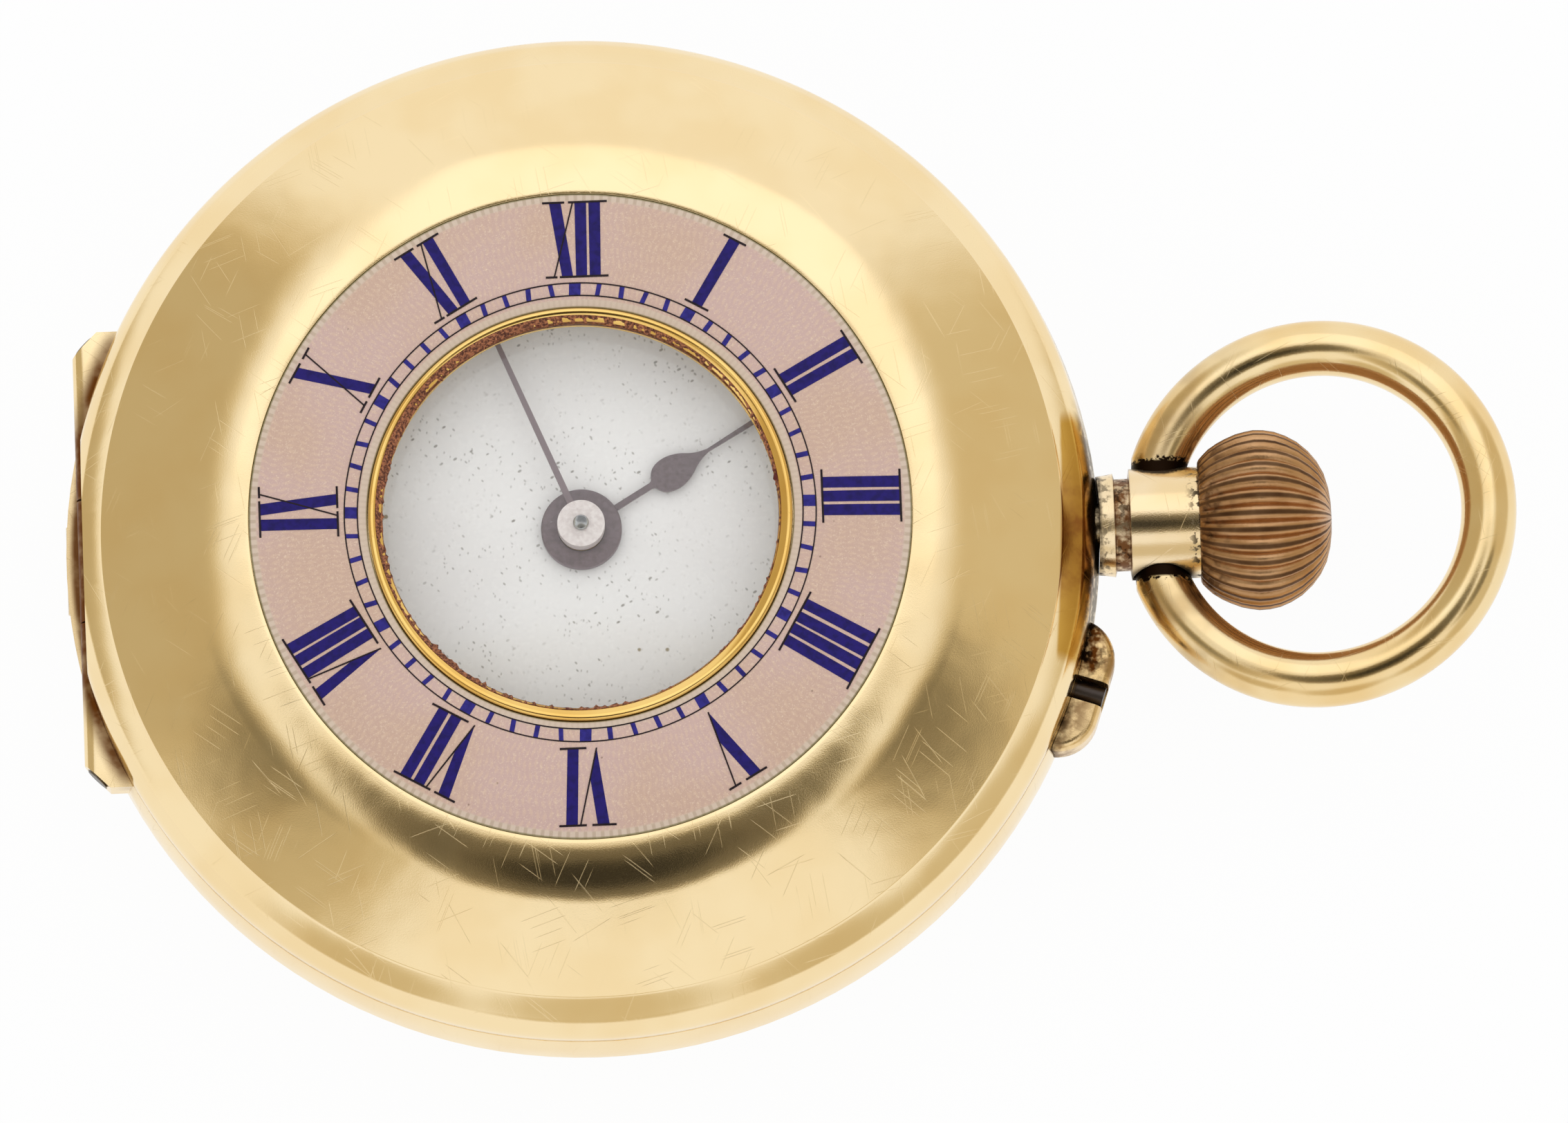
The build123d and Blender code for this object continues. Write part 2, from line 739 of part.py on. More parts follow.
def case_middle():
    """The band that carries the movement, the hinges and the pendant."""
    band = lathe(
        [
            (case_radius - case_bevel, back_seam),
            (case_radius, back_seam + case_bevel_height),
            (case_radius, stem_height),
            (lid_radius, lid_seam),
            (snap_ring_radius, lid_seam),
            (snap_ring_radius, snap_ring_top),
            (ledge_bore_radius, snap_ring_top),
            (ledge_bore_radius, movement_ledge),
            (bore_radius, movement_ledge),
            (bore_radius, skirt_foot),
            (skirt_radius, skirt_foot),
            (skirt_radius, back_seam),
        ]
    )
    reach = case_radius + overrun
    high = lid_seam + overrun
    band -= block(-reach, -case_chord, -reach, reach, front_hinge_shelf, high)

    # Front hinge: a straight seat that runs past the round outline, and the outer knuckles
    half = front_hinge_length / 2
    seat_inner = -math.sqrt(lid_radius**2 - half**2) + wall
    seat_top = front_hinge_z + front_hinge_radius
    seat = block(front_hinge_x, seat_inner, -half, half, front_hinge_shelf, seat_top)
    _, outer = knuckles(
        front_hinge_length, front_hinge_middle, front_hinge_radius, front_hinge_x, front_hinge_z
    )
    ends = slanted_end(-1) + slanted_end(1)
    band += ((seat - disc(bore_radius, 0, high)) + outer) - ends
    clear = front_hinge_middle / 2 + hinge_gap
    band -= rod_y(front_hinge_relief, -clear, clear, front_hinge_x, front_hinge_z)
    bore = front_hinge_pin_radius + seated_gap
    band -= rod_y(bore, -half - overrun, half + overrun, front_hinge_x, front_hinge_z)
    bore = front_hinge_cap_radius + seated_gap
    head = half + front_hinge_cap - 2 * front_hinge_end_cut - seated_gap
    for side in (-1, 1):
        near, far = sorted((side * head, side * (half + overrun)))
        band -= rod_y(bore, near, far, front_hinge_x, front_hinge_z)

    # Back hinge
    half = back_hinge_length / 2
    _, outer = knuckles(
        back_hinge_length, back_hinge_middle, back_hinge_radius, back_hinge_x, back_hinge_z
    )
    band += outer
    clear = back_hinge_middle / 2 + hinge_gap
    relief = back_hinge_radius + 2 * hinge_gap
    band -= rod_y(relief, -clear, clear, back_hinge_x, back_hinge_z)
    bore = back_hinge_pin_radius + seated_gap
    band -= rod_y(bore, -half - overrun, half + overrun, back_hinge_x, back_hinge_z)

    # Cuvette hinge, on a lug inside the back
    half = cuvette_hinge_length / 2
    _, outer = knuckles(
        cuvette_hinge_length,
        cuvette_hinge_middle,
        cuvette_hinge_radius,
        cuvette_hinge_x,
        cuvette_hinge_z,
    )
    lug_inner = cuvette_hinge_x + cuvette_lug_inset
    lug_low, lug_high = cuvette_hinge_z - cuvette_hinge_radius, cuvette_hinge_z + cuvette_hinge_radius
    band += block(cuvette_hinge_x, lug_inner, -half, half, lug_low, lug_high) + outer
    clear = cuvette_hinge_middle / 2 + hinge_gap
    relief = cuvette_hinge_radius + 2 * hinge_gap
    band -= rod_y(relief, -clear, clear, cuvette_hinge_x, cuvette_hinge_z)
    web_room = cuvette_hinge_x + cuvette_hinge_web / 2 + 2 * hinge_gap
    low = skirt_foot - overrun
    band -= block(-skirt_radius - overrun, web_room, -clear, clear, low, cuvette_hinge_z)
    bore = cuvette_hinge_pin_radius + seated_gap
    band -= rod_y(bore, -half - overrun, half + overrun, cuvette_hinge_x, cuvette_hinge_z)

    # Room for the springs, the pendant's spigot, the stem, the push-piece and the case screws
    for angles in (lock_spring_angles, lift_spring_angles):
        band -= spring_groove(*angles)
    band -= rod_x(pendant_spigot_radius + seated_gap, pendant_spigot_inner, case_radius + overrun)
    band -= rod_x(pendant_bore_radius, bore_radius - overrun, case_radius)
    band -= radial_rod(push_bore, bore_radius - overrun, case_radius + overrun)
    for angle in case_screw_angles:
        place = polar(case_screw_reach, angle)
        low = plate_foot - screw_head_height - hinge_gap
        band -= disc(case_screw_head + hinge_gap, low, plate_foot + seated_gap, place)
    for place in spring_screw_places():
        low = case_spring_foot - screw_length / 2
        band -= disc(spring_screw_radius + seated_gap, low, case_spring_foot, place)
    return band


def spring_screws():
    """The two small screws that hold the case springs."""
    solids = []
    for place in spring_screw_places():
        low = case_spring_foot - screw_length / 2
        body = disc(spring_screw_radius, low, case_spring_top + seated_gap, place)
        head_low = case_spring_top + seated_gap
        solids.append(body + disc(spring_screw_head, head_low, head_low + screw_slot_depth, place))
    return solids


def lift_spring():
    """The spring that lifts the front cover, with a raised tip under the cover's rim."""
    start, end = lift_spring_angles
    inner = spring_groove_inner + hinge_gap
    outer = inner + case_spring_thickness
    tip = sector(outer, end - spring_tip_spread, end, case_spring_top, lid_seam - seam_gap)
    blade = case_spring(start, end) + (tip - disc(inner, 0, lid_seam + overrun))
    hole = spring_screw_radius + seated_gap
    return blade - disc(hole, 0, lid_seam + overrun, spring_screw_places()[1])


def lock_spring():
    """The spring that holds the front cover shut, with its nose beside the cover's lip."""
    start, end = lock_spring_angles
    inner = spring_groove_inner + hinge_gap
    outer = lid_radius - wall - hinge_gap
    nose = sector(outer, start, start + spring_tip_spread, case_spring_top, lid_seam + lock_nose_height)
    near, far = start - 2 * spring_tip_spread, start + 2 * spring_tip_spread
    room = sector(outer + overrun, near, far, 0, lid_seam + seam_gap)
    room -= disc(inner + case_spring_thickness, 0, lid_seam + overrun)
    nose -= disc(inner, 0, lid_seam + overrun) + room
    blade = case_spring(start, end) + nose
    hole = spring_screw_radius + seated_gap
    return blade - disc(hole, 0, lid_seam + overrun, spring_screw_places()[0])


def front_cover():
    """The hinged front lid, with its window and the seat of the enamel ring."""
    foot = lid_seam + seam_gap
    inner_rim = lid_radius - wall
    shoulder = (lid_shoulder_radius, 0, lid_shoulder_height)
    bulge = wall / 4
    middle = (
        (lid_radius + lid_shoulder_radius) / 2 + bulge,
        0,
        (lid_rim_top + lid_shoulder_height) / 2 + bulge / 2,
    )
    seat = enamel_outer_radius + seated_gap
    corners = [
        shoulder,
        (lid_step_radius + lid_step_run, 0, lid_step_height - lid_step_depth),
        (lid_step_radius, 0, lid_step_height),
        (lid_flank_radius, 0, lid_flank_height),
    ]
    brow = (
        lid_flank_radius - lid_brow_width / 2,
        0,
        (lid_flank_height + enamel_outer_height) / 2 + lid_brow_lift,
    )
    seat_corners = [
        (seat, 0, enamel_outer_height),
        (seat, 0, enamel_floor),
        (window_radius, 0, enamel_floor),
        (window_radius, 0, lid_inner_height),
        (lid_flank_radius - 2 * wall, 0, lid_inner_height),
        (lid_step_radius - wall / 2, 0, lid_step_height - wall),
        (lid_shoulder_radius - wall, 0, lid_shoulder_height - wall / 2),
        (inner_rim, 0, lid_rim_top),
        (inner_rim, 0, foot),
        (lid_radius, 0, foot),
        (lid_radius, 0, lid_rim_top),
    ]
    sides = [Line(a, b) for a, b in zip(corners, corners[1:])]
    sides.append(ThreePointArc(corners[-1], brow, seat_corners[0]))
    sides += [Line(a, b) for a, b in zip(seat_corners, seat_corners[1:])]
    lid = turned(ThreePointArc(seat_corners[-1], middle, shoulder), *sides)
    reach = lid_radius + overrun
    lid -= block(-reach, -lid_chord, -reach, reach, 0, bezel_top)

    # The middle knuckle hangs from the lid by a web inside the rim
    half = front_hinge_middle / 2
    web_half = front_hinge_web / 2
    web = block(
        front_hinge_x - web_half,
        front_hinge_x + web_half,
        -half,
        half,
        front_hinge_z,
        lid_rim_top + wall / 2,
    )
    middle_knuckle, _ = knuckles(
        front_hinge_length, front_hinge_middle, front_hinge_radius, front_hinge_x, front_hinge_z
    )
    lid += web + middle_knuckle
    bore = front_hinge_pin_radius + running_gap
    return lid - rod_y(bore, -half - overrun, half + overrun, front_hinge_x, front_hinge_z)


def enamel_ring():
    """The enamelled chapter ring let into the lid."""
    inner, outer = enamel_inner_radius + seated_gap, enamel_outer_radius
    return lathe(
        [
            (inner, enamel_floor + seated_gap),
            (outer, enamel_floor + seated_gap),
            (outer, enamel_outer_height),
            (inner, enamel_inner_height),
        ]
    )


def window_bezel():
    """The narrow gold ring round the window, with a lip under the glass."""
    neck = window_radius - seated_gap
    outer = enamel_inner_radius - seated_gap
    lip_top = lid_inner_height + bezel_lip_height
    return lathe(
        [
            (bezel_lip_radius, lid_inner_height),
            (neck, lid_inner_height),
            (neck, enamel_floor + seated_gap),
            (outer, enamel_floor + seated_gap),
            (outer, bezel_top - bezel_round),
            (outer - bezel_round, bezel_top),
            (bezel_inner_radius + bezel_round / 2, bezel_top),
            (bezel_inner_radius, bezel_top - bezel_round / 2),
            (bezel_inner_radius, lip_top),
            (bezel_lip_radius, lip_top),
        ]
    )


window_glass_foot = lid_inner_height + bezel_lip_height + seated_gap
window_glass_top = window_glass_foot + glass_thickness


def window_glass():
    """The small flat glass of the window."""
    rim_top = window_glass_top - glass_bevel
    inside = window_glass_radius - glass_bevel
    return lathe(
        [
            (0, window_glass_foot),
            (window_glass_radius, window_glass_foot),
            (window_glass_radius, rim_top),
            (inside, window_glass_top),
            (0, window_glass_top),
        ]
    )


def glass_cement():
    """The bead of cement that holds the window's glass."""
    outer = bezel_inner_radius - seated_gap
    side = window_glass_radius + seated_gap
    return lathe(
        [
            (side, window_glass_foot),
            (outer, window_glass_foot),
            (outer, cement_top + glass_bevel),
            (cement_inner_radius, window_glass_top + seated_gap),
            (side - glass_bevel, window_glass_top + seated_gap),
            (side, window_glass_top + seated_gap - glass_bevel),
        ]
    )


def back_cover():
    """The hinged outer back, with the flat that the watch rests on."""
    cover = shell(
        back_flat_radius, back_radius, 0, back_wall_foot, back_seam - seam_gap, wall
    )
    half = back_hinge_middle / 2
    web_half = back_hinge_web / 2
    web = block(
        back_hinge_x - web_half, back_hinge_x + web_half, -half, half, back_seam - wall, back_hinge_z
    )
    middle_knuckle, _ = knuckles(
        back_hinge_length, back_hinge_middle, back_hinge_radius, back_hinge_x, back_hinge_z
    )
    bore = back_hinge_pin_radius + running_gap
    pin_room = rod_y(bore, -half - overrun, half + overrun, back_hinge_x, back_hinge_z)
    return (cover + web + middle_knuckle) - pin_room


def cuvette():
    """The hinged inner back."""
    cover = shell(
        cuvette_flat_radius,
        cuvette_radius,
        cuvette_foot,
        cuvette_wall_foot,
        skirt_foot - seam_gap,
        cuvette_wall,
    )
    half = cuvette_hinge_middle / 2
    web_half = cuvette_hinge_web / 2
    web = block(
        cuvette_hinge_x - web_half,
        cuvette_hinge_x + web_half,
        -half,
        half,
        cuvette_wall_foot + cuvette_wall,
        cuvette_hinge_z,
    )
    middle_knuckle, _ = knuckles(
        cuvette_hinge_length,
        cuvette_hinge_middle,
        cuvette_hinge_radius,
        cuvette_hinge_x,
        cuvette_hinge_z,
    )
    bore = cuvette_hinge_pin_radius + running_gap
    pin_room = rod_y(bore, -half - overrun, half + overrun, cuvette_hinge_x, cuvette_hinge_z)
    return (cover + web + middle_knuckle) - pin_room


def inner_bezel():
    """The snap-on bezel that carries the dial's glass."""
    skirt_inner = inner_bezel_radius - inner_bezel_skirt
    lip_foot = dial_top + seam_gap
    lip_top = lip_foot + inner_bezel_lip
    seat = dial_glass_radius + seated_gap
    collar = dial_radius + 3 * hinge_gap
    floor = snap_ring_top + 2 * seam_gap
    return lathe(
        [
            (inner_bezel_lip_radius, lip_foot),
            (collar, lip_foot),
            (collar, floor),
            (skirt_inner, floor),
            (skirt_inner, lid_seam + 2 * hinge_gap),
            (inner_bezel_radius, lid_seam + 2 * hinge_gap),
            (inner_bezel_radius, inner_bezel_shoulder),
            (inner_bezel_crest_radius, inner_bezel_crest),
            (seat, inner_bezel_crest),
            (seat, lip_top),
            (inner_bezel_lip_radius, lip_top),
        ]
    )


def dial_glass():
    """The low domed glass over the dial and hands."""
    rise = dial_glass_crown - dial_glass_edge
    curve = (dial_glass_radius**2 + rise**2) / (2 * rise)
    half = dial_glass_radius / 2

    def level(radius):
        return dial_glass_crown - curve + math.sqrt(curve**2 - radius**2)

    thick = dial_glass_thickness
    edge = level(dial_glass_radius)
    inside = ThreePointArc((0, 0, level(0)), (half, 0, level(half)), (dial_glass_radius, 0, edge))
    outside = ThreePointArc(
        (dial_glass_radius, 0, edge + thick),
        (half, 0, level(half) + thick),
        (0, 0, level(0) + thick),
    )
    return turned(inside, Line(inside @ 1, outside @ 0), outside, Line(outside @ 1, inside @ 0))


def pendant():
    """The neck that carries the bow and the crown."""
    neck = lathe_x(pendant_profile)
    outer_end = pendant_profile[-1][0]
    rim = neck.edges().filter_by(GeomType.CIRCLE).group_by(Axis.X)[-1]
    neck = fillet(rim, pendant_edge)
    neck -= disc(case_radius + seated_gap, 0, bezel_top)
    neck += rod_x(pendant_spigot_radius, pendant_spigot_inner + seated_gap, case_radius + wall)
    neck -= rod_x(pendant_bore_radius, pendant_spigot_inner - overrun, outer_end + overrun)
    seat = bow_seat - hinge_gap
    widest = pendant_profile[-1][1] + overrun
    recess = bow_wire_radius + hinge_gap
    neck -= rod_y(recess, seat, widest, bow_pivot, stem_height)
    neck -= rod_y(recess, -widest, -seat, bow_pivot, stem_height)
    bore = bow_peg_radius + running_gap
    hole = bow_peg_inner - hinge_gap
    neck -= rod_y(bore, hole, widest, bow_pivot, stem_height)
    neck -= rod_y(bore, -widest, -hole, bow_pivot, stem_height)
    return neck


def bow():
    """The ring for a chain, with two pegs that turn in the pendant."""
    spread = math.sqrt(bow_ring_radius**2 - bow_ring_offset**2)
    gap_angle = math.degrees(math.atan2(spread, bow_ring_offset))
    wire = Torus(bow_ring_radius, bow_wire_radius, major_angle=360 - 2 * gap_angle)
    solid = Pos(bow_ring_offset, 0, 0) * Rot(0, 0, gap_angle - 180) * wire
    for side in (-1, 1):
        solid += Pos(0, side * spread, 0) * Sphere(bow_wire_radius)
        near, far = sorted((side * bow_seat, side * spread))
        solid += rod_y(bow_wire_radius, near, far, 0, 0)
        near, far = sorted((side * bow_peg_inner, side * spread))
        solid += rod_y(bow_peg_radius, near, far, 0, 0)
    return Pos(bow_pivot, 0, stem_height) * Rot(0, -bow_tilt, 0) * solid


# The crown's outline: shares of its length and of its largest radius
crown_length_shares = (0, 0.1, 0.22, 0.4, 0.52, 0.66, 0.78, 0.88, 0.95, 1.0)
crown_radius_shares = (0.7, 0.82, 0.93, 1.0, 0.993, 0.938, 0.836, 0.69, 0.5, 0.24)
# Where a flute's edges and floor lie within one pitch, and how deep each is
flute_place_shares = (0.08, 0.34, 0.66, 0.92)
flute_depth_shares = (0, 1, 1, 0)


def crown():
    """The fluted onion crown, hollow where it covers the pendant."""
    pitch = 360 / crown_flutes
    sections = []
    for along, across in zip(crown_length_shares, crown_radius_shares):
        corners = []
        for flute in range(crown_flutes):
            for place, depth in zip(flute_place_shares, flute_depth_shares):
                radius = across * (crown_radius - depth * crown_flute_depth)
                y, z = polar(radius, (flute + place) * pitch)
                corners.append(Vector(crown_foot + along * crown_length, y, stem_height + z))
        sections.append(Face(Wire.make_polygon(corners)))
    knob = loft(sections, ruled=True)
    ceiling = crown_foot + crown_bore_depth
    knob -= rod_x(crown_bore_radius, crown_foot - overrun, ceiling)
    return knob - rod_x(stem_radius + seated_gap, crown_foot, crown_foot + crown_pipe_reach + seated_gap)


def winding_stem():
    """The stem, square where the winding wheels ride on it."""
    half = stem_square / 2
    stem = rod_x(stem_pivot_radius, stem_pivot_inner, stem_square_inner)
    square_end = winding_pinion_outer + crown_stroke + 2 * hinge_gap
    stem += block(stem_square_inner, square_end, -half, half, stem_height - half, stem_height + half)
    return stem + rod_x(stem_radius, square_end, crown_foot + crown_pipe_reach)


def push_piece_guard():
    """The two lobes on the band that guard the push-piece, which lies in the slot between them."""
    side = guard_lobe_spread / 2 - guard_lobe_radius
    ends = ((guard_lobe_reach, -side), (guard_lobe_reach, side))
    lobes = strap(*ends, guard_lobe_radius, guard_lobe_radius, guard_foot, guard_top)
    lobes = fillet(lobes.edges().filter_by(GeomType.CIRCLE), guard_round)
    slot_end = case_radius + guard_lobe_radius
    slot = block(bore_radius, slot_end, -push_bore, push_bore, stem_height - push_bore, bezel_top)
    guard = Rot(0, 0, push_angle) * (lobes - slot)
    guard -= lathe(
        [
            (0, back_seam),
            (case_radius + seated_gap, back_seam),
            (case_radius + seated_gap, stem_height),
            (lid_radius + seated_gap, lid_seam),
            (0, lid_seam),
        ]
    )
    return guard - radial_rod(push_bore, bore_radius, case_radius + 4 * wall)


def push_pin():
    """The push-piece that brings the setting work into gear."""
    return radial_rod(push_pin_radius, push_pin_inner, push_pin_outer)


def case_screws():
    """The two screws whose wide heads clamp the movement to the band."""
    solids = []
    for angle in case_screw_angles:
        place = polar(case_screw_reach, angle)
        solids.append(screw(place, plate_foot, screw_length / 2, case_screw_head))
    return solids


# Dial and hands


def dial():
    """The white enamel dial on two copper pegs."""
    plate = ring(dial_radius, dial_hole_radius, dial_foot, dial_top)
    for angle in dial_peg_angles:
        place = polar(dial_peg_reach, angle)
        plate += disc(dial_peg_radius, dial_foot - dial_peg_length, dial_foot, place)
    return plate


def hour_hand():
    """The double spade hour hand: one spade under the window, one under the lid."""
    low, high = hour_blade_foot, hour_blade_foot + hour_blade_thickness
    stalk = plan(
        [
            (0, -hour_neck_width / 2),
            (hour_spade_reaches[0], -hour_stalk_width / 2),
            (hour_reach, -hour_tip_width / 2),
            (hour_reach, hour_tip_width / 2),
            (hour_spade_reaches[0], hour_stalk_width / 2),
            (0, hour_neck_width / 2),
        ],
        low,
        high,
    )
    for reach, length, width in zip(hour_spade_reaches, hour_spade_lengths, hour_spade_widths):
        half = width / 2
        shoulder = reach - length / 2 + half
        stalk += disc(half, low, high, (shoulder, 0))
        point = reach + length / 2
        stalk += plan([(shoulder, -half), (point, 0), (shoulder, half)], low, high)
    boss = disc(hour_boss_radius, hour_boss_foot, hour_boss_top)
    hand = Rot(0, 0, 90 - hour_angle) * (stalk + boss)
    return hand - disc(hour_pipe_radius + seated_gap, 0, bezel_top)


def minute_hand():
    """The slender minute hand, bent down towards its tip."""
    low, thick = minute_blade_foot, minute_blade_thickness
    drop = minute_droop
    side = [
        Vector(0, 0, low),
        Vector(minute_bend, 0, low),
        Vector(minute_reach, 0, low - drop),
        Vector(minute_reach, 0, low + thick - drop),
        Vector(minute_bend, 0, low + thick),
        Vector(0, 0, low + thick),
    ]
    width = minute_blade_width
    bar = extrude(Face(Wire.make_polygon(side)), width, both=True, dir=(0, 1, 0))
    outline = plan(
        [
            (0, -width / 2),
            (minute_reach, -minute_tip_width / 2),
            (minute_reach, minute_tip_width / 2),
            (0, width / 2),
        ],
        low - 2 * drop,
        low + 2 * thick,
    )
    boss = disc(minute_boss_radius, minute_boss_foot, minute_boss_top)
    hand = Rot(0, 0, 90 - minute_angle) * ((bar & outline) + boss)
    hand -= disc(cannon_radius + seated_gap, 0, cannon_top + seated_gap)
    return hand - disc(centre_post_radius + seated_gap, 0, bezel_top)


# Distances and modules of the gear train

barrel_distance, barrel_heading = between(centre, barrel_at)
third_distance, third_heading = between(centre, third_at)
fourth_distance, fourth_heading = between(third_at, fourth_at)
escape_distance, escape_heading = between(fourth_at, escape_at)
pallet_heading = between(escape_at, balance_at)[1]
pallet_step = polar(pallet_reach, pallet_heading)
pallet_at = (escape_at[0] + pallet_step[0], escape_at[1] + pallet_step[1])
winding_distance, winding_heading = between(crown_wheel_at, barrel_at)
minute_distance, minute_heading = between(centre, minute_wheel_at)
setting_distance, setting_heading = between(minute_wheel_at, setting_wheel_at)

barrel_module = 2 * barrel_distance / (barrel_teeth + centre_pinion_leaves)
centre_module = 2 * third_distance / (centre_teeth + third_pinion_leaves)
third_module = 2 * fourth_distance / (third_teeth + fourth_pinion_leaves)
fourth_module = 2 * escape_distance / (fourth_teeth + escape_pinion_leaves)
winding_module = 2 * winding_distance / (crown_spur_teeth + ratchet_teeth)
cannon_module = 2 * minute_distance / (cannon_leaves + minute_teeth)
hour_module = 2 * minute_distance / (minute_pinion_leaves + hour_teeth)
setting_module = 2 * setting_distance / (minute_teeth + setting_teeth)


def tip_radius(teeth, module, pinion=False):
    """The radius over a wheel's teeth."""
    return teeth * module / 2 + (pinion_addendum_share if pinion else wheel_addendum_share) * module


def root_radius(teeth, module):
    """The radius at the foot of a wheel's teeth."""
    return teeth * module / 2 - dedendum_share * module


barrel_room = tip_radius(barrel_teeth, barrel_module) + recess_gap
barrel_drum_radius = barrel_distance - tip_radius(centre_pinion_leaves, barrel_module, True) - barrel_gap
centre_room = tip_radius(centre_teeth, centre_module) + recess_gap
fourth_room = tip_radius(fourth_teeth, fourth_module) + recess_gap
third_pinion_room = tip_radius(third_pinion_leaves, centre_module, True) + recess_gap
escape_pinion_room = tip_radius(escape_pinion_leaves, fourth_module, True) + recess_gap
balance_reach = balance_radius + balance_screw_length
balance_room = balance_reach + recess_gap

# Each jewelled arbor: where it stands, the floor of its jewel in the plate, and its jewel in a bridge
third_room_top = third_pinion_top + recess_gap / 2
escape_room_top = escape_pinion_top + recess_gap / 2
jewelled = (
    (third_at, third_room_top, bridge_top),
    (fourth_at, fourth_recess_top, bridge_top),
    (escape_at, escape_room_top, cock_top),
    (pallet_at, plate_foot, cock_top),
    (balance_at, plate_foot, balance_cock_top),
)


def jewelled_arbor(number, radius):
    """A plain arbor with a fine pivot in a jewel at each end."""
    place, plate_jewel, bridge_jewel = jewelled[number]
    low, high = bridge_jewel + running_gap, plate_jewel - running_gap
    ends = jewel_thickness
    return stack(
        place,
        (pivot_radius, low - ends, low),
        (radius, low, high),
        (pivot_radius, high, high + ends),
    )


def plate_jewels():
    """The jewels set in the main plate."""
    hole = pivot_radius + seated_gap
    return [ring(jewel_radius, hole, level, level + jewel_thickness, at) for at, level, _ in jewelled]


def bridge_jewels():
    """The jewels set in the bridges and cocks, and the balance's cap jewel."""
    hole = pivot_radius + seated_gap
    solids = [ring(jewel_radius, hole, level - jewel_thickness, level, at) for at, _, level in jewelled]
    solids.append(disc(jewel_radius, balance_cock_foot - jewel_thickness, balance_cock_foot, balance_at))
    return solids


def jewel_pocket(at, low, high):
    """The seat of a jewel."""
    return disc(jewel_radius + seated_gap, low, high, at)


def screw_places():
    """Each bridge screw: where it stands, the surface under its head, and its length."""
    deep = plate_foot - bridge_foot + screw_length / 2
    angles = barrel_screw_angles + train_screw_angles
    places = [(polar(bridge_screw_reach, angle), bridge_foot, deep) for angle in angles]
    deep = plate_foot - cock_foot + screw_length / 2
    places += [(escape_rest_at, cock_foot, deep), (pallet_rest_at, cock_foot, deep)]
    places.append((cock_rest_at, balance_cock_foot, plate_foot - balance_cock_foot + screw_length / 2))
    return places


def screw_holes():
    """The holes for every bridge screw."""
    holes = None
    for place, foot, length in screw_places():
        hole = disc(screw_radius + seated_gap, foot - overrun, foot + length + hinge_gap, place)
        holes = hole if holes is None else holes + hole
    return holes


def bridge_screws():
    """The screws of the bridges and cocks."""
    return [screw(*place) for place in screw_places()]


castle_room = castle_radius + 2 * hinge_gap
pinion_room = winding_pinion_radius + 2 * hinge_gap
stem_room = stem_radius + 2 * hinge_gap
pivot_room_inner = stem_pivot_inner - crown_stroke - 2 * hinge_gap
channel_inner = stem_square_inner - crown_stroke - 2 * hinge_gap
pocket_inner = winding_pinion_inner - 2 * hinge_gap
pocket_outer = winding_pinion_outer + 2 * hinge_gap


def main_plate():
    """The main plate, hollowed for the wheels on one side and for the motion work on the other."""
    plate = disc(plate_radius, plate_foot, plate_top)
    rim = ring(plate_flange_radius, plate_rim_radius, movement_ledge + seam_gap, dial_foot - seated_gap)
    plate += rim
    ends = (pivot_room_inner - wall, channel_inner)
    plate += block(*ends, -stem_radius, stem_radius, plate_foot - wall / 2, plate_foot)
    low = dial_foot - dial_peg_length - 2 * hinge_gap
    for angle in dial_peg_angles:
        plate -= disc(dial_peg_radius + hinge_gap, low, dial_foot, polar(dial_peg_reach, angle))

    # Studs for the motion and setting work
    for place in (minute_wheel_at, setting_wheel_at, lever_pivot_at):
        plate += disc(stud_radius, plate_top - seated_gap, dial_foot - 2 * hinge_gap, place)

    # Hollows for the going train
    low = plate_foot - overrun
    plate -= disc(barrel_room, low, train_recess_top, barrel_at)
    plate -= disc(centre_room, low, train_recess_top)
    plate -= disc(third_pinion_room, low, third_room_top, third_at)
    plate -= disc(fourth_room, low, fourth_recess_top, fourth_at)
    plate -= disc(escape_pinion_room, low, escape_room_top, escape_at)
    plate -= disc(centre_web_radius + hinge_gap, low, dial_foot)
    plate -= disc(barrel_pivot_radius + hinge_gap, low, train_recess_top + barrel_pivot_depth, barrel_at)
    for place, level, _ in jewelled:
        plate -= jewel_pocket(place, level - seated_gap, level + jewel_thickness + hinge_gap)

    # Hollows for the stem, the winding wheels, the push-piece and the case screws
    plate -= rod_x(stem_pivot_radius + hinge_gap, pivot_room_inner, channel_inner)
    plate -= rod_x(castle_room, channel_inner, pocket_inner)
    plate -= rod_x(pinion_room, pocket_inner, pocket_outer)
    plate -= rod_x(stem_room, pocket_outer, plate_flange_radius + overrun)
    notch_inner = lever_stud_reach - push_stroke - 2 * stud_radius
    notch_half = push_bore + hinge_gap
    notch = block(
        notch_inner, plate_flange_radius + overrun, -notch_half, notch_half, low, plate_top + seated_gap
    )
    plate -= Rot(0, 0, push_angle) * notch
    for angle in case_screw_angles:
        deep = plate_foot + screw_length / 2 + hinge_gap
        plate -= disc(screw_radius + seated_gap, low, deep, polar(case_screw_reach, angle))
    return plate - screw_holes()


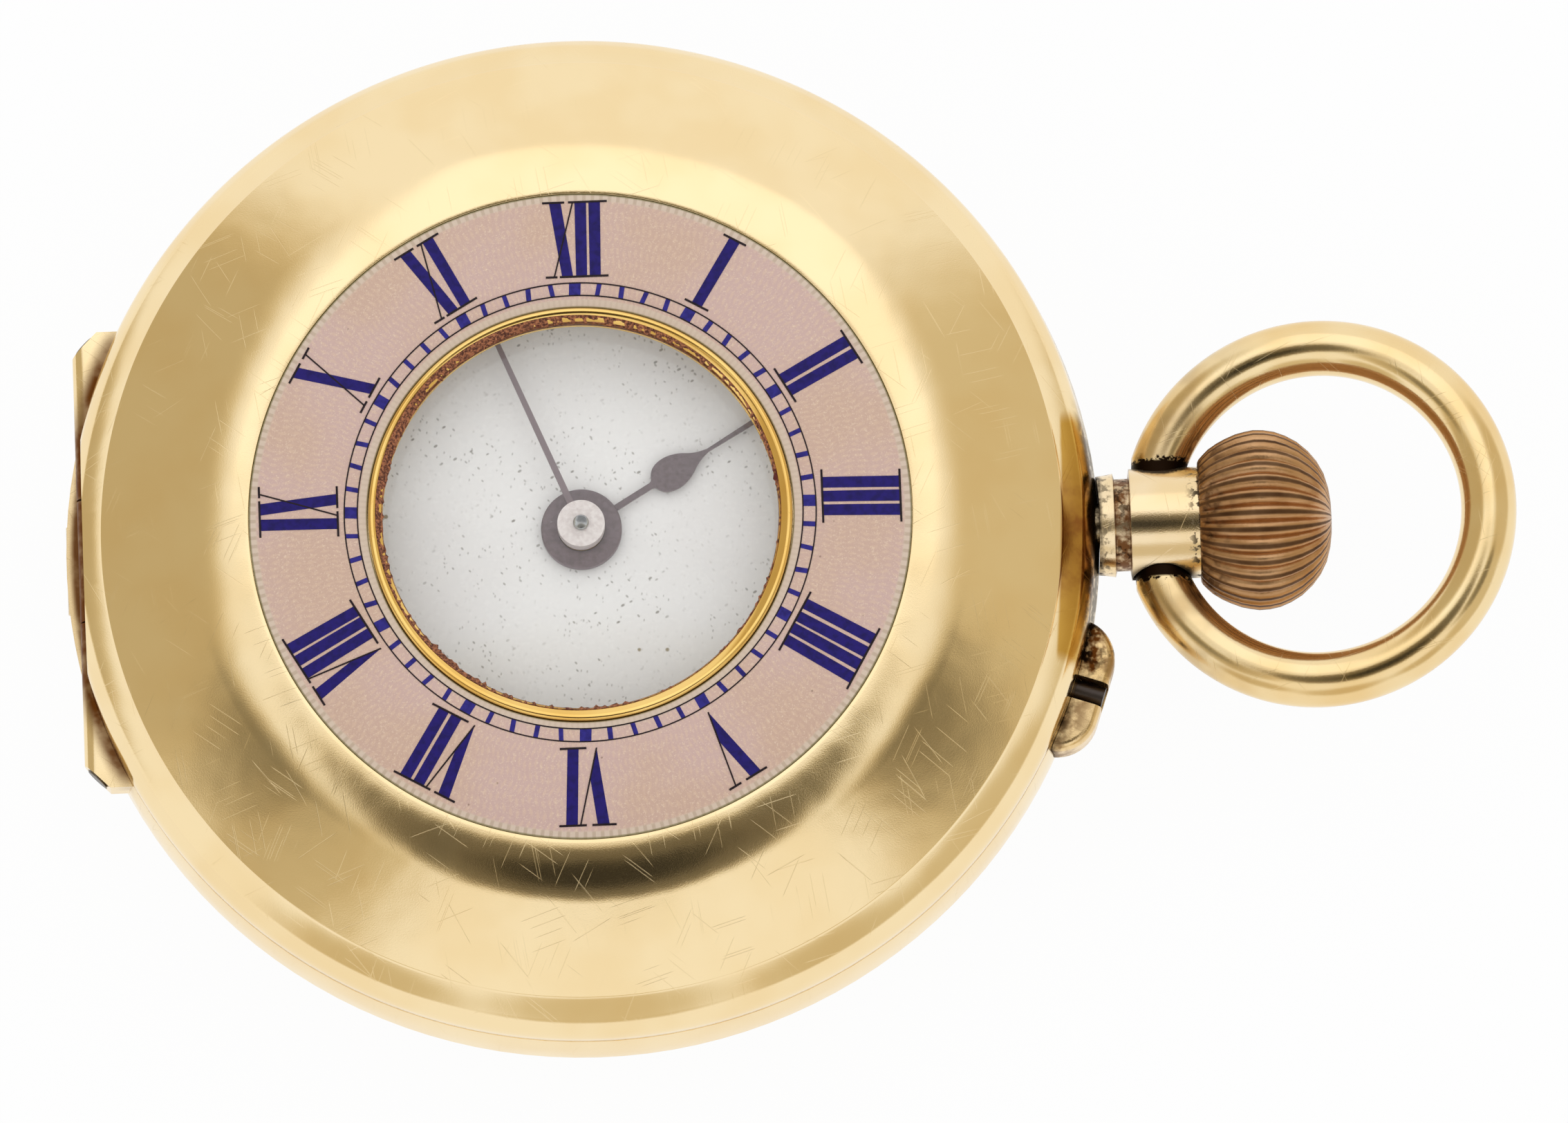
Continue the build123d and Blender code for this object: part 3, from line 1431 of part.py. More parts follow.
def barrel_bridge():
    """The bridge over the barrel, which also carries the winding wheels."""
    start, end = barrel_bridge_angles
    bridge = sector(bridge_radius, start, end, bridge_foot, bridge_top)
    bridge += disc(barrel_drum_radius, bridge_foot, bridge_top, barrel_at)
    foot = sector(bridge_radius, start + barrel_bridge_foot_inset, end, bridge_top, plate_foot)
    bridge += foot - disc(bridge_rest, 0, plate_top)
    bridge += disc(crown_pad_radius, bridge_foot, crown_pad_top, crown_wheel_at)
    bridge += disc(crown_core_radius, wheel_top_foot - seated_gap, bridge_foot, crown_wheel_at)
    bridge -= disc(centre_boss_radius + recess_gap, 0, plate_top)
    bridge -= disc(balance_room, 0, plate_top, balance_at)
    inner = contrate_radius - contrate_width / 2 - recess_gap
    outer = contrate_radius + contrate_width / 2 + recess_gap
    bridge -= ring(outer, inner, bridge_foot - seated_gap, contrate_top + 2 * hinge_gap, crown_wheel_at)
    bridge -= rod_x(castle_room, 0, pocket_inner + seated_gap)
    bridge -= rod_x(pinion_room, pocket_inner, bridge_radius + overrun)
    bridge -= disc(barrel_top_pivot_radius + running_gap, 0, plate_top, barrel_at)
    bridge -= disc(screw_radius + seated_gap, wheel_top_foot, bridge_top - hinge_gap, crown_wheel_at)
    for place in (click_at, click_spring_at):
        bridge -= disc(screw_radius + seated_gap, 0, bridge_top - hinge_gap, place)
    return bridge - screw_holes()


def train_bridge():
    """The bridge over the centre, third and fourth wheels."""
    start, end = train_bridge_angles
    bridge = sector(bridge_radius, start, end, bridge_foot, bridge_top)
    bridge += disc(centre_boss_radius, bridge_foot, bridge_top)
    foot = sector(bridge_radius, start, end, bridge_top, plate_foot)
    bridge += foot - disc(bridge_rest, 0, plate_top)
    bridge -= disc(arbor_radius + running_gap, 0, plate_top)
    for place, _, level in jewelled[:2]:
        bridge -= jewel_pocket(place, level - jewel_thickness - seated_gap, level + seated_gap)
        bridge -= disc(pivot_radius + hinge_gap, 0, plate_top, place)
    return bridge - screw_holes()


def cock(number, rest, foot, top, arm_radius, rest_radius):
    """A one-footed bridge that holds one arbor's jewel."""
    place, _, level = jewelled[number]
    arm = strap(place, rest, arm_radius, rest_radius, foot, top)
    arm += disc(rest_radius, top, plate_foot, rest)
    arm -= jewel_pocket(place, level - jewel_thickness - seated_gap, level + seated_gap)
    arm -= disc(pivot_radius + hinge_gap, 0, level, place)
    return arm - screw_holes()


def escape_cock():
    """The cock of the escape wheel."""
    return cock(2, escape_rest_at, cock_foot, cock_top, cock_arm_radius, cock_rest_radius)


def pallet_cock():
    """The cock of the pallet fork."""
    return cock(3, pallet_rest_at, cock_foot, cock_top, cock_arm_radius, cock_rest_radius)


def balance_cock():
    """The cock of the balance, with the stud of its hairspring."""
    levels = (balance_cock_foot, balance_cock_top)
    arm = cock(4, cock_rest_at, *levels, balance_arm_radius, balance_rest_radius)
    reach = hairspring_inner + hairspring_half_turns * hairspring_pitch / 2
    step = polar(reach + stud_radius / 2 + seated_gap, hairspring_heading)
    stud_at = (balance_at[0] + step[0], balance_at[1] + step[1])
    return arm + disc(stud_radius / 2, balance_cock_top, hairspring_top, stud_at)


hairspring_heading = between(balance_at, cock_rest_at)[1]


# Going train


def barrel():
    """The toothed drum of the mainspring."""
    drum = disc(barrel_drum_radius, barrel_foot, barrel_top, barrel_at)
    heading = barrel_heading + 180
    drum += toothed(barrel_teeth, barrel_module, barrel_rim_foot, barrel_rim_top, barrel_at, heading)
    low, high = barrel_foot + barrel_wall, barrel_top - barrel_wall
    drum -= disc(barrel_drum_radius - barrel_wall, low, high, barrel_at)
    drum -= disc(barrel_top_pivot_radius + running_gap, 0, low + overrun / 2, barrel_at)
    return drum - disc(barrel_pivot_radius + running_gap, high - overrun / 2, plate_top, barrel_at)


def barrel_arbor():
    """The arbor that the mainspring is wound on."""
    low, high = barrel_foot + barrel_wall, barrel_top - barrel_wall
    return stack(
        barrel_at,
        (ratchet_square_radius, wheel_top_foot, bridge_foot),
        (barrel_top_pivot_radius, bridge_foot, low + running_gap),
        (barrel_arbor_radius, low + running_gap, high - running_gap),
        (barrel_pivot_radius, high - running_gap, train_recess_top + barrel_pivot_depth - hinge_gap),
    ) - disc(screw_radius + seated_gap, 0, wheel_top_foot + screw_length / 2, barrel_at)


def mainspring():
    """The coiled mainspring inside the drum."""
    low, high = barrel_foot + barrel_wall + hinge_gap, barrel_top - barrel_wall - hinge_gap
    return spiral(
        barrel_at,
        barrel_arbor_radius + mainspring_pitch,
        mainspring_pitch,
        mainspring_half_turns,
        mainspring_width,
        low,
        high,
    )


def centre_wheel():
    """The centre wheel, whose long arbor carries the minute hand."""
    low, high = centre_wheel_foot, centre_wheel_top
    wheel = toothed(centre_teeth, centre_module, low, high, centre, third_heading)
    hub = third_pinion_room
    rim = root_radius(centre_teeth, centre_module) - balance_rim_width
    wheel = crossed(wheel, centre, hub, rim, 5, balance_rim_width, low, high)
    wheel += toothed(
        centre_pinion_leaves,
        barrel_module,
        centre_pinion_foot,
        centre_pinion_top,
        centre,
        barrel_heading,
        pinion=True,
        in_gap=True,
    )
    return wheel + stack(
        centre,
        (arbor_radius, bridge_foot + hinge_gap, centre_pinion_foot),
        (barrel_wall, centre_pinion_foot, centre_wheel_foot),
        (centre_web_radius, centre_wheel_foot, plate_top),
        (centre_post_radius, plate_top, centre_post_top),
    )


def third_wheel():
    """The third wheel and its pinion."""
    low, high = third_wheel_foot, third_wheel_top
    wheel = toothed(third_teeth, third_module, low, high, third_at, fourth_heading)
    rim = root_radius(third_teeth, third_module) - balance_rim_width
    wheel = crossed(wheel, third_at, third_pinion_room, rim, 5, fork_width, low, high)
    wheel += toothed(
        third_pinion_leaves,
        centre_module,
        high,
        third_pinion_top,
        third_at,
        third_heading + 180,
        pinion=True,
        in_gap=True,
    )
    return wheel + jewelled_arbor(0, arbor_radius)


def fourth_wheel():
    """The fourth wheel and its pinion."""
    low, high = fourth_wheel_foot, fourth_wheel_top
    wheel = toothed(fourth_teeth, fourth_module, low, high, fourth_at, escape_heading)
    rim = root_radius(fourth_teeth, fourth_module) - fork_width
    wheel = crossed(wheel, fourth_at, escape_pinion_room, rim, 4, fork_width, low, high)
    wheel += toothed(
        fourth_pinion_leaves,
        third_module,
        fourth_pinion_foot,
        low,
        fourth_at,
        fourth_heading + 180,
        pinion=True,
        in_gap=True,
    )
    return wheel + jewelled_arbor(1, arbor_radius)


# One escape tooth: its corners as shares of the wheel's radius and of one pitch
escape_radius_shares = (0.74, 0.98, 1.0, 0.86, 0.74)
escape_pitch_shares = (0, 0.28, 0.42, 0.36, 0.34)


def escape_wheel():
    """The escape wheel with its raked teeth, and its pinion."""
    pitch = 360 / escape_teeth
    points = []
    for tooth in range(escape_teeth):
        for radius, place in zip(escape_radius_shares, escape_pitch_shares):
            x, y = polar(radius * escape_radius, (tooth + place) * pitch)
            points.append((x + escape_at[0], y + escape_at[1]))
    low, high = escape_wheel_foot, escape_wheel_top
    wheel = plan(points, low, high)
    rim = escape_radius * escape_radius_shares[0] - arbor_radius
    wheel = crossed(wheel, escape_at, 2 * arbor_radius, rim, 4, arbor_radius, low, high)
    wheel += toothed(
        escape_pinion_leaves,
        fourth_module,
        escape_pinion_foot,
        escape_pinion_top,
        escape_at,
        escape_heading + 180,
        pinion=True,
        in_gap=True,
    )
    return wheel + jewelled_arbor(2, arbor_radius / 2)


def pallet_fork():
    """The pallet lever, its two stones and its fork."""
    low, high = escape_wheel_foot, escape_wheel_top
    span = between(pallet_at, balance_at)[0] - fork_clearance

    def place(along, across):
        forward = polar(along, pallet_heading)
        aside = polar(across, pallet_heading + 90)
        return (pallet_at[0] + forward[0] + aside[0], pallet_at[1] + forward[1] + aside[1])

    lever = strap(pallet_at, place(span, 0), fork_width, fork_width / 2, low, high)
    for side in (-1, 1):
        stone = polar(fork_stone_reach, pallet_heading + side * fork_stone_angle)
        tip = (escape_at[0] + stone[0], escape_at[1] + stone[1])
        lever += strap(pallet_at, tip, fork_width, fork_width / 2, low, high)
        horn = place(span, side * fork_horn_spread)
        lever += strap(place(span - fork_width, 0), horn, fork_width / 2, fork_width / 3, low, high)
    return lever + jewelled_arbor(3, arbor_radius)


def balance_wheel():
    """The balance with its timing screws, roller and impulse pin."""
    rim_inner = balance_radius - balance_rim_width
    wheel = ring(balance_radius, rim_inner, balance_foot, balance_top, balance_at)
    arm_low = balance_foot + balance_arm_thickness / 2
    arm_high = arm_low + balance_arm_thickness
    half = balance_radius - balance_rim_width / 2
    arm = block(-half, half, -balance_arm_width / 2, balance_arm_width / 2, arm_low, arm_high)
    heading = between(balance_at, cock_rest_at)[1] + 90
    wheel += Pos(balance_at[0], balance_at[1], 0) * Rot(0, 0, heading) * arm
    middle = (balance_foot + balance_top) / 2
    for number in range(balance_screws):
        angle = heading + (number + 0.5) * 360 / balance_screws
        rod = rod_x(balance_screw_radius, half, balance_reach, 0, middle)
        wheel += Pos(balance_at[0], balance_at[1], 0) * Rot(0, 0, angle) * rod
    wheel += disc(roller_radius, roller_foot, roller_top, balance_at)
    wheel += disc(collet_radius, hairspring_foot - seated_gap, balance_foot, balance_at)
    pin = polar(impulse_pin_reach, pallet_heading + 180)
    pin_at = (balance_at[0] + pin[0], balance_at[1] + pin[1])
    wheel += disc(impulse_pin_radius, roller_foot, impulse_pin_top, pin_at)
    return wheel + jewelled_arbor(4, arbor_radius)


def hairspring():
    """The flat hairspring, from the balance's collet to the cock's stud."""
    coil = spiral(
        centre,
        hairspring_inner,
        hairspring_pitch,
        hairspring_half_turns,
        hairspring_width,
        hairspring_foot,
        hairspring_top,
    )
    return Pos(balance_at[0], balance_at[1], 0) * Rot(0, 0, hairspring_heading) * coil


def regulator():
    """The index that turns round the balance's cap jewel."""
    low, high = regulator_foot, regulator_foot + regulator_thickness
    tip = polar(regulator_length, regulator_heading)
    place = (balance_at[0] + tip[0], balance_at[1] + tip[1])
    index = strap(balance_at, place, regulator_ring_radius, regulator_thickness, low, high)
    return index - disc(jewel_radius + hinge_gap, 0, plate_foot, balance_at)


# Winding and setting work


def ratchet_wheel():
    """The ratchet wheel on the barrel arbor."""
    wheel = toothed(
        ratchet_teeth,
        winding_module,
        wheel_top_foot,
        wheel_top_top,
        barrel_at,
        winding_heading + 180,
        in_gap=True,
    )
    return wheel - disc(ratchet_square_radius + seated_gap, 0, plate_foot, barrel_at)


def crown_wheel():
    """The crown wheel: spur teeth for the ratchet, face teeth for the winding pinion."""
    wheel = toothed(
        crown_spur_teeth, winding_module, wheel_top_foot, wheel_top_top, crown_wheel_at, winding_heading
    )
    inner, outer = contrate_radius - contrate_width / 2, contrate_radius + contrate_width / 2
    wheel += ring(outer, inner, wheel_top_top, contrate_root, crown_wheel_at)
    half = math.pi * contrate_radius / contrate_teeth * contrate_tooth_share
    bar = block(inner, outer, -half, half, contrate_root, contrate_top)
    at_crown = Pos(crown_wheel_at[0], crown_wheel_at[1], 0)
    for tooth in range(contrate_teeth):
        wheel += at_crown * Rot(0, 0, tooth * 360 / contrate_teeth) * bar
    return wheel - disc(crown_core_radius + running_gap, 0, plate_foot, crown_wheel_at)


def ratchet_screw():
    """The screw of the ratchet wheel."""
    under_head = wheel_top_foot - seated_gap
    return screw(barrel_at, under_head, screw_length / 2, ratchet_square_radius + wall)


def winding_screws():
    """The screws of the crown wheel, the click and its spring."""
    gap = wheel_top_foot - seated_gap
    wide = crown_core_radius + wall / 2
    return [
        screw(crown_wheel_at, gap - seated_gap, screw_length / 2, wide),
        screw(click_at, gap, screw_length / 2),
        screw(click_spring_at, gap, screw_length / 2),
    ]


click_distance = tip_radius(ratchet_teeth, winding_module) + click_hub_radius + 2 * recess_gap
click_step = polar(click_distance, click_heading)
click_at = (barrel_at[0] + click_step[0], barrel_at[1] + click_step[1])
click_spring_step = polar(click_distance + recess_gap, click_heading + click_spread * 1.4)
click_spring_at = (barrel_at[0] + click_spring_step[0], barrel_at[1] + click_spring_step[1])


def click():
    """The click beside the ratchet's teeth."""
    reach = tip_radius(ratchet_teeth, winding_module) + click_tip_radius + 2 * hinge_gap
    step = polar(reach, click_heading - click_spread)
    tip = (barrel_at[0] + step[0], barrel_at[1] + step[1])
    pawl = strap(click_at, tip, click_hub_radius, click_tip_radius, wheel_top_foot, wheel_top_top)
    return pawl - disc(screw_radius + running_gap, 0, plate_foot, click_at)


def click_spring():
    """The flat spring that leans on the click."""
    length, heading = between(click_spring_at, click_at)
    step = polar(length - click_hub_radius - click_tip_radius - recess_gap, heading)
    tip = (click_spring_at[0] + step[0], click_spring_at[1] + step[1])
    levels = (wheel_top_foot, wheel_top_top)
    blade = strap(click_spring_at, tip, click_hub_radius, click_tip_radius, *levels)
    return blade - disc(screw_radius + seated_gap, 0, plate_foot, click_spring_at)


def square_bore(low, high):
    """The square hole of a wheel that rides on the stem."""
    half = stem_square / 2 + running_gap
    return block(low - overrun, high + overrun, -half, half, stem_height - half, stem_height + half)


def winding_pinion():
    """The pinion on the stem that drives the crown wheel."""
    module = winding_pinion_radius / (winding_teeth / 2 + wheel_addendum_share)
    length = winding_pinion_shoulder - winding_pinion_inner
    teeth = toothed(winding_teeth, module, 0, length, centre, 0, in_gap=True)
    pinion = Pos(winding_pinion_inner, 0, stem_height) * Rot(0, 90, 0) * teeth
    pinion += rod_x(winding_hub_radius, winding_pinion_inner, winding_pinion_outer)
    return pinion - square_bore(winding_pinion_inner, winding_pinion_outer)


def castle_wheel():
    """The sliding wheel on the stem, with a groove for the setting lever."""
    wheel = rod_x(castle_radius, castle_inner, castle_outer)
    middle = (castle_inner + castle_outer) / 2
    low, high = middle - castle_groove / 2, middle + castle_groove / 2
    groove = rod_x(castle_radius + overrun, low, high)
    wheel -= groove - rod_x(castle_radius - castle_groove_depth, low - overrun, high + overrun)
    half = castle_groove_depth / 2
    ends = (castle_inner - overrun, castle_inner + castle_groove_depth)
    notch = block(*ends, -half, half, wall, 2 * castle_radius)
    for tooth in range(castle_teeth):
        wheel -= Pos(0, 0, stem_height) * Rot(tooth * 360 / castle_teeth, 0, 0) * notch
    return wheel - square_bore(castle_inner, castle_outer)


def cannon_pinion():
    """The pinion and pipe that carry the minute hand."""
    wheel = toothed(
        cannon_leaves,
        cannon_module,
        motion_foot,
        motion_top,
        centre,
        minute_heading,
        pinion=True,
        in_gap=True,
    )
    wheel += disc(cannon_radius, motion_foot, cannon_top)
    return wheel - disc(centre_post_radius + seated_gap, 0, bezel_top)


def minute_wheel():
    """The minute wheel and its pinion, between the cannon pinion and the hour wheel."""
    heading = minute_heading + 180
    wheel = toothed(minute_teeth, cannon_module, motion_foot, motion_top, minute_wheel_at, heading)
    wheel += toothed(
        minute_pinion_leaves,
        hour_module,
        motion_top - seated_gap,
        hour_wheel_top + seated_gap,
        minute_wheel_at,
        heading,
        pinion=True,
        in_gap=True,
    )
    return wheel - disc(stud_radius + running_gap, 0, bezel_top, minute_wheel_at)


def hour_wheel():
    """The hour wheel and the pipe that carries the hour hand."""
    wheel = toothed(hour_teeth, hour_module, hour_wheel_foot, hour_wheel_top, centre, minute_heading)
    wheel += disc(hour_pipe_radius, hour_wheel_foot, hour_boss_top)
    return wheel - disc(hour_pipe_bore, 0, bezel_top)


def setting_wheel():
    """The wheel between the stem's castle wheel and the minute wheel."""
    wheel = toothed(
        setting_teeth,
        setting_module,
        motion_foot,
        motion_top,
        setting_wheel_at,
        setting_heading + 180,
        in_gap=True,
    )
    return wheel - disc(stud_radius + running_gap, 0, bezel_top, setting_wheel_at)


def setting_lever():
    """The lever between the push-piece and the castle wheel."""
    stud_at = polar(lever_stud_reach, push_angle)
    tip = ((castle_inner + castle_outer) / 2, -castle_radius * lever_tip_share)
    lever = strap(lever_pivot_at, stud_at, lever_hub_radius, lever_stud_radius, lever_foot, lever_top)
    lever += strap(lever_pivot_at, tip, lever_hub_radius, lever_tip_radius, lever_foot, lever_top)
    lever += disc(lever_stud_radius, plate_foot, lever_top, stud_at)
    return lever - disc(stud_radius + running_gap, 0, bezel_top, lever_pivot_at)


pieces = {
    "case_middle": case_middle,
    "pendant": pendant,
    "push_piece_guard": push_piece_guard,
    "front_cover": front_cover,
    "front_hinge_pin": front_hinge_pin,
    "enamel_ring": enamel_ring,
    "window_bezel": window_bezel,
    "window_glass": window_glass,
    "glass_cement": glass_cement,
    "back_cover": back_cover,
    "cuvette": cuvette,
    "inner_bezel": inner_bezel,
    "dial_glass": dial_glass,
    "lift_spring": lift_spring,
    "lock_spring": lock_spring,
    "spring_screws": spring_screws,
    "bow": bow,
    "crown": crown,
    "winding_stem": winding_stem,
    "push_pin": push_pin,
    "case_screws": case_screws,
    "dial": dial,
    "hour_hand": hour_hand,
    "minute_hand": minute_hand,
    "main_plate": main_plate,
    "barrel_bridge": barrel_bridge,
    "train_bridge": train_bridge,
    "escape_cock": escape_cock,
    "pallet_cock": pallet_cock,
    "balance_cock": balance_cock,
    "barrel": barrel,
    "barrel_arbor": barrel_arbor,
    "mainspring": mainspring,
    "ratchet_wheel": ratchet_wheel,
    "ratchet_screw": ratchet_screw,
    "crown_wheel": crown_wheel,
    "click": click,
    "click_spring": click_spring,
    "centre_wheel": centre_wheel,
    "third_wheel": third_wheel,
    "fourth_wheel": fourth_wheel,
    "escape_wheel": escape_wheel,
    "pallet_fork": pallet_fork,
    "balance_wheel": balance_wheel,
    "hairspring": hairspring,
    "regulator": regulator,
    "cannon_pinion": cannon_pinion,
    "minute_wheel": minute_wheel,
    "hour_wheel": hour_wheel,
    "setting_wheel": setting_wheel,
    "setting_lever": setting_lever,
    "winding_pinion": winding_pinion,
    "castle_wheel": castle_wheel,
    "bridge_screws": bridge_screws,
    "winding_screws": winding_screws,
    "plate_jewels": plate_jewels,
    "bridge_jewels": bridge_jewels,
}
hinge_pins = {
    "back_hinge_pin": (back_hinge_length, back_hinge_pin_radius, back_hinge_x, back_hinge_z),
    "cuvette_hinge_pin": (
        cuvette_hinge_length,
        cuvette_hinge_pin_radius,
        cuvette_hinge_x,
        cuvette_hinge_z,
    ),
}

os.makedirs("parts", exist_ok=True)
for name, make in pieces.items():
    made = make()
    shape = Compound(made) if isinstance(made, list) else made
    export_step(shape, f"parts/{name}.step")
for name, sizes in hinge_pins.items():
    export_step(hinge_pin(*sizes), f"parts/{name}.step")
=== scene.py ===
import math
import random

import bmesh
import bpy
from mathutils import Matrix, Vector


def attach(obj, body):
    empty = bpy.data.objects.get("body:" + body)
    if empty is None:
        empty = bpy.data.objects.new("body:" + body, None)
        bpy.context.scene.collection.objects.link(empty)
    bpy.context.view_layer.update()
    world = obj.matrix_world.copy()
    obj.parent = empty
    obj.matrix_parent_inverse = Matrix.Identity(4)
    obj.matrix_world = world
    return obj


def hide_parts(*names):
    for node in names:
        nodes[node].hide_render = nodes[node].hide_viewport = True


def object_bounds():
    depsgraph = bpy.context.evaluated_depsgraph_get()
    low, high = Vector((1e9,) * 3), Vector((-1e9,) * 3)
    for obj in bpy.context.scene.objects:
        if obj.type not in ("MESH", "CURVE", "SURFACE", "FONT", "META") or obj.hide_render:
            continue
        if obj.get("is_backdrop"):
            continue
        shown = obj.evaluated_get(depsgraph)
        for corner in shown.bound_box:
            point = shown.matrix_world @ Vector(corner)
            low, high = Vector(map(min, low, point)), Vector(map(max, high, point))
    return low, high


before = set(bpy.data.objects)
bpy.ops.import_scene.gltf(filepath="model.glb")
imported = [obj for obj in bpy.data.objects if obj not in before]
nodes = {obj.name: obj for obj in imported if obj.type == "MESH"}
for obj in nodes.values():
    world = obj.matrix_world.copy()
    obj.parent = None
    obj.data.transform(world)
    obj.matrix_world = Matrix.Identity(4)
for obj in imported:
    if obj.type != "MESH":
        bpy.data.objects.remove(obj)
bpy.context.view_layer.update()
mm = 0.001
stem_height = 5.4
bow_pivot = 19.5
flutes = 32
random.seed(7)

# Shader values and nodes


class Value:
    """A socket that Python's operators work on, one Math node for each."""

    def __init__(self, finish, socket):
        self.finish, self.socket = finish, socket

    def math(self, operation, *others):
        return self.finish.node("ShaderNodeMath", {"operation": operation}, [self, *others])

    def __add__(self, other):
        return self.math("ADD", other)

    def __radd__(self, other):
        return self.math("ADD", other)

    def __sub__(self, other):
        return self.math("SUBTRACT", other)

    def __rsub__(self, other):
        return self.finish.node("ShaderNodeMath", {"operation": "SUBTRACT"}, [other, self])

    def __mul__(self, other):
        return self.math("MULTIPLY", other)

    def __truediv__(self, other):
        return self.math("DIVIDE", other)

    def __lt__(self, other):
        return self.math("LESS_THAN", other)

    def sin(self):
        return self.math("SINE")

    def power(self, exponent):
        return self.math("POWER", exponent)

    def between(self, low, high):
        """0 below low, 1 above high, smooth from one to the other."""
        settings = {"interpolation_type": "SMOOTHSTEP"}
        return self.finish.node("ShaderNodeMapRange", settings, {0: self, 1: low, 2: high})


class Finish:
    """One material, made node by node."""

    def __init__(self, name, tree=None):
        if tree is None:
            self.material = bpy.data.materials.new(name)
            self.material.use_nodes = True
            tree = self.material.node_tree
        self.tree = tree
        tree.nodes.clear()
        self.place = None

    def node(self, kind, settings=None, inputs=(), output=0):
        """A node with its settings made first, then the values or links of its sockets."""
        made = self.tree.nodes.new(kind)
        for key, value in (settings or {}).items():
            setattr(made, key, value)
        pairs = inputs.items() if isinstance(inputs, dict) else enumerate(inputs)
        for key, value in pairs:
            if value is None:
                continue
            if isinstance(value, Value):
                self.tree.links.new(value.socket, made.inputs[key])
            else:
                socket = made.inputs[key]
                if socket.type == "RGBA" and len(value) == 3:
                    value = (*value, 1)
                socket.default_value = value
        if not made.outputs:
            return made
        return Value(self, made.outputs[output])

    def position(self):
        """Where a point lies on the object, in millimetres."""
        if self.place is None:
            metres = self.node("ShaderNodeTexCoord", output="Object")
            settings = {"operation": "SCALE"}
            self.place = self.node("ShaderNodeVectorMath", settings, {0: metres, "Scale": 1 / mm})
        return self.place

    def axes(self):
        """The three coordinates of a point, in millimetres."""
        split = self.node("ShaderNodeSeparateXYZ", {}, [self.position()])
        outputs = split.socket.node.outputs
        return [Value(self, outputs[axis]) for axis in range(3)]

    def polar(self):
        """The distance from the hand axis and the angle round it."""
        x, y, _ = self.axes()
        return (x * x + y * y).power(0.5), y.math("ARCTAN2", x)

    def stretched(self, turn, scale):
        """The position turned about the hand axis, then stretched, for marks that run one way."""
        turned = (0, 0, math.radians(turn))
        shares = [1 / value for value in scale]
        settings = {"vector_type": "TEXTURE"}
        return self.node("ShaderNodeMapping", settings, [self.position(), None, turned, shares])

    def noise(self, scale, detail=2.0, rough=0.5, at=None):
        """Noise with about this many blotches in a millimetre."""
        place = at or self.position()
        inputs = {"Vector": place, "Scale": scale, "Detail": detail, "Roughness": rough}
        return self.node("ShaderNodeTexNoise", {}, inputs)

    def cells(self, scale, at=None):
        """The distance to scattered points, about this many in a millimetre."""
        inputs = {"Vector": at or self.position(), "Scale": scale}
        return self.node("ShaderNodeTexVoronoi", {}, inputs)

    def mix(self, share, low, high):
        """One colour blended towards another."""
        inputs = {0: share, 6: low, 7: high}
        return self.node("ShaderNodeMix", {"data_type": "RGBA"}, inputs, output=2)

    def bump(self, height, depth, normal=None):
        """Relief of this depth in millimetres."""
        inputs = {"Strength": 1.0, "Distance": depth * mm, "Height": height, "Normal": normal}
        return self.node("ShaderNodeBump", {}, inputs)

    def scratches(self, turns, keep, long=0.35, wide=21.0):
        """Scattered straight hairline scratches that run several ways, 1 on a scratch."""
        total = None
        for turn in turns:
            distance = self.cells(1.0, at=self.stretched(turn, (long, wide, long)))
            lot = Value(self, distance.socket.node.outputs["Color"])
            lot = self.node("ShaderNodeSeparateXYZ", {}, [lot])
            line = (1 - distance.between(0.18, 0.28)) * (lot < keep)
            total = line if total is None else total.math("MAXIMUM", line)
        return total

    def surface(self, colour, roughness, normal=None, metallic=1.0, **more):
        """The Principled shader and the output."""
        sockets = {"Base Color": colour, "Roughness": roughness, "Metallic": metallic, "Normal": normal}
        shader = self.node("ShaderNodeBsdfPrincipled", {}, {**sockets, **more})
        self.node("ShaderNodeOutputMaterial", {}, [shader])
        return self.material


def srgb(red, green, blue):
    """A colour as seen on screen, 0 to 255, as the linear light that shaders take."""
    return tuple(
        (c / 255) / 12.92 if c / 255 <= 0.04045 else ((c / 255 + 0.055) / 1.055) ** 2.4
        for c in (red, green, blue)
    )


# Finishes


def gold_finish(name, colour, tint, rough=0.13, wear=1.0, dirt=None, soot_and_shade=None, painted_reflection=None):
    """Polished gold gone satin: fine scratches, faint dents and slow changes of colour."""
    f = Finish(name)
    broad = f.noise(0.35, 2.0)
    fine = f.noise(22.0, 3.0, 0.6)
    hair = f.scratches((17, -38, 64, 99), 0.09)
    deep = f.scratches((28, -52, 118), 0.018, 0.3, 17.0)
    shade = f.mix(broad.between(0.35, 0.7), colour, tint)
    roughness = rough + (fine - 0.5) * 0.12 + (broad - 0.5) * 0.06 + hair * 0.1
    # Painted reflection: a darker crescent on the lid's rim where it faces the pendant
    if painted_reflection:
        mask, ends, middle = painted_reflection(f)
        shade = f.mix(mask, shade, f.mix(middle, ends, srgb(146, 88, 30)))
    if dirt:
        mask = dirt(f)
        shade = f.mix(mask, shade, srgb(108, 62, 22))
        roughness = roughness + mask * 0.3
    # Near-black: dirt, and painted shade in the gaps where the bow's ends meet the pendant
    if soot_and_shade:
        mask = soot_and_shade(f)
        shade = f.mix(mask, shade, srgb(34, 22, 14))
        roughness = roughness + mask * 0.3
    relief = f.bump(broad, 0.03)
    relief = f.bump(hair * -0.45 + deep * -0.55 + fine * 0.5, 0.0028 * wear, relief)
    return f.surface(shade, roughness, relief)


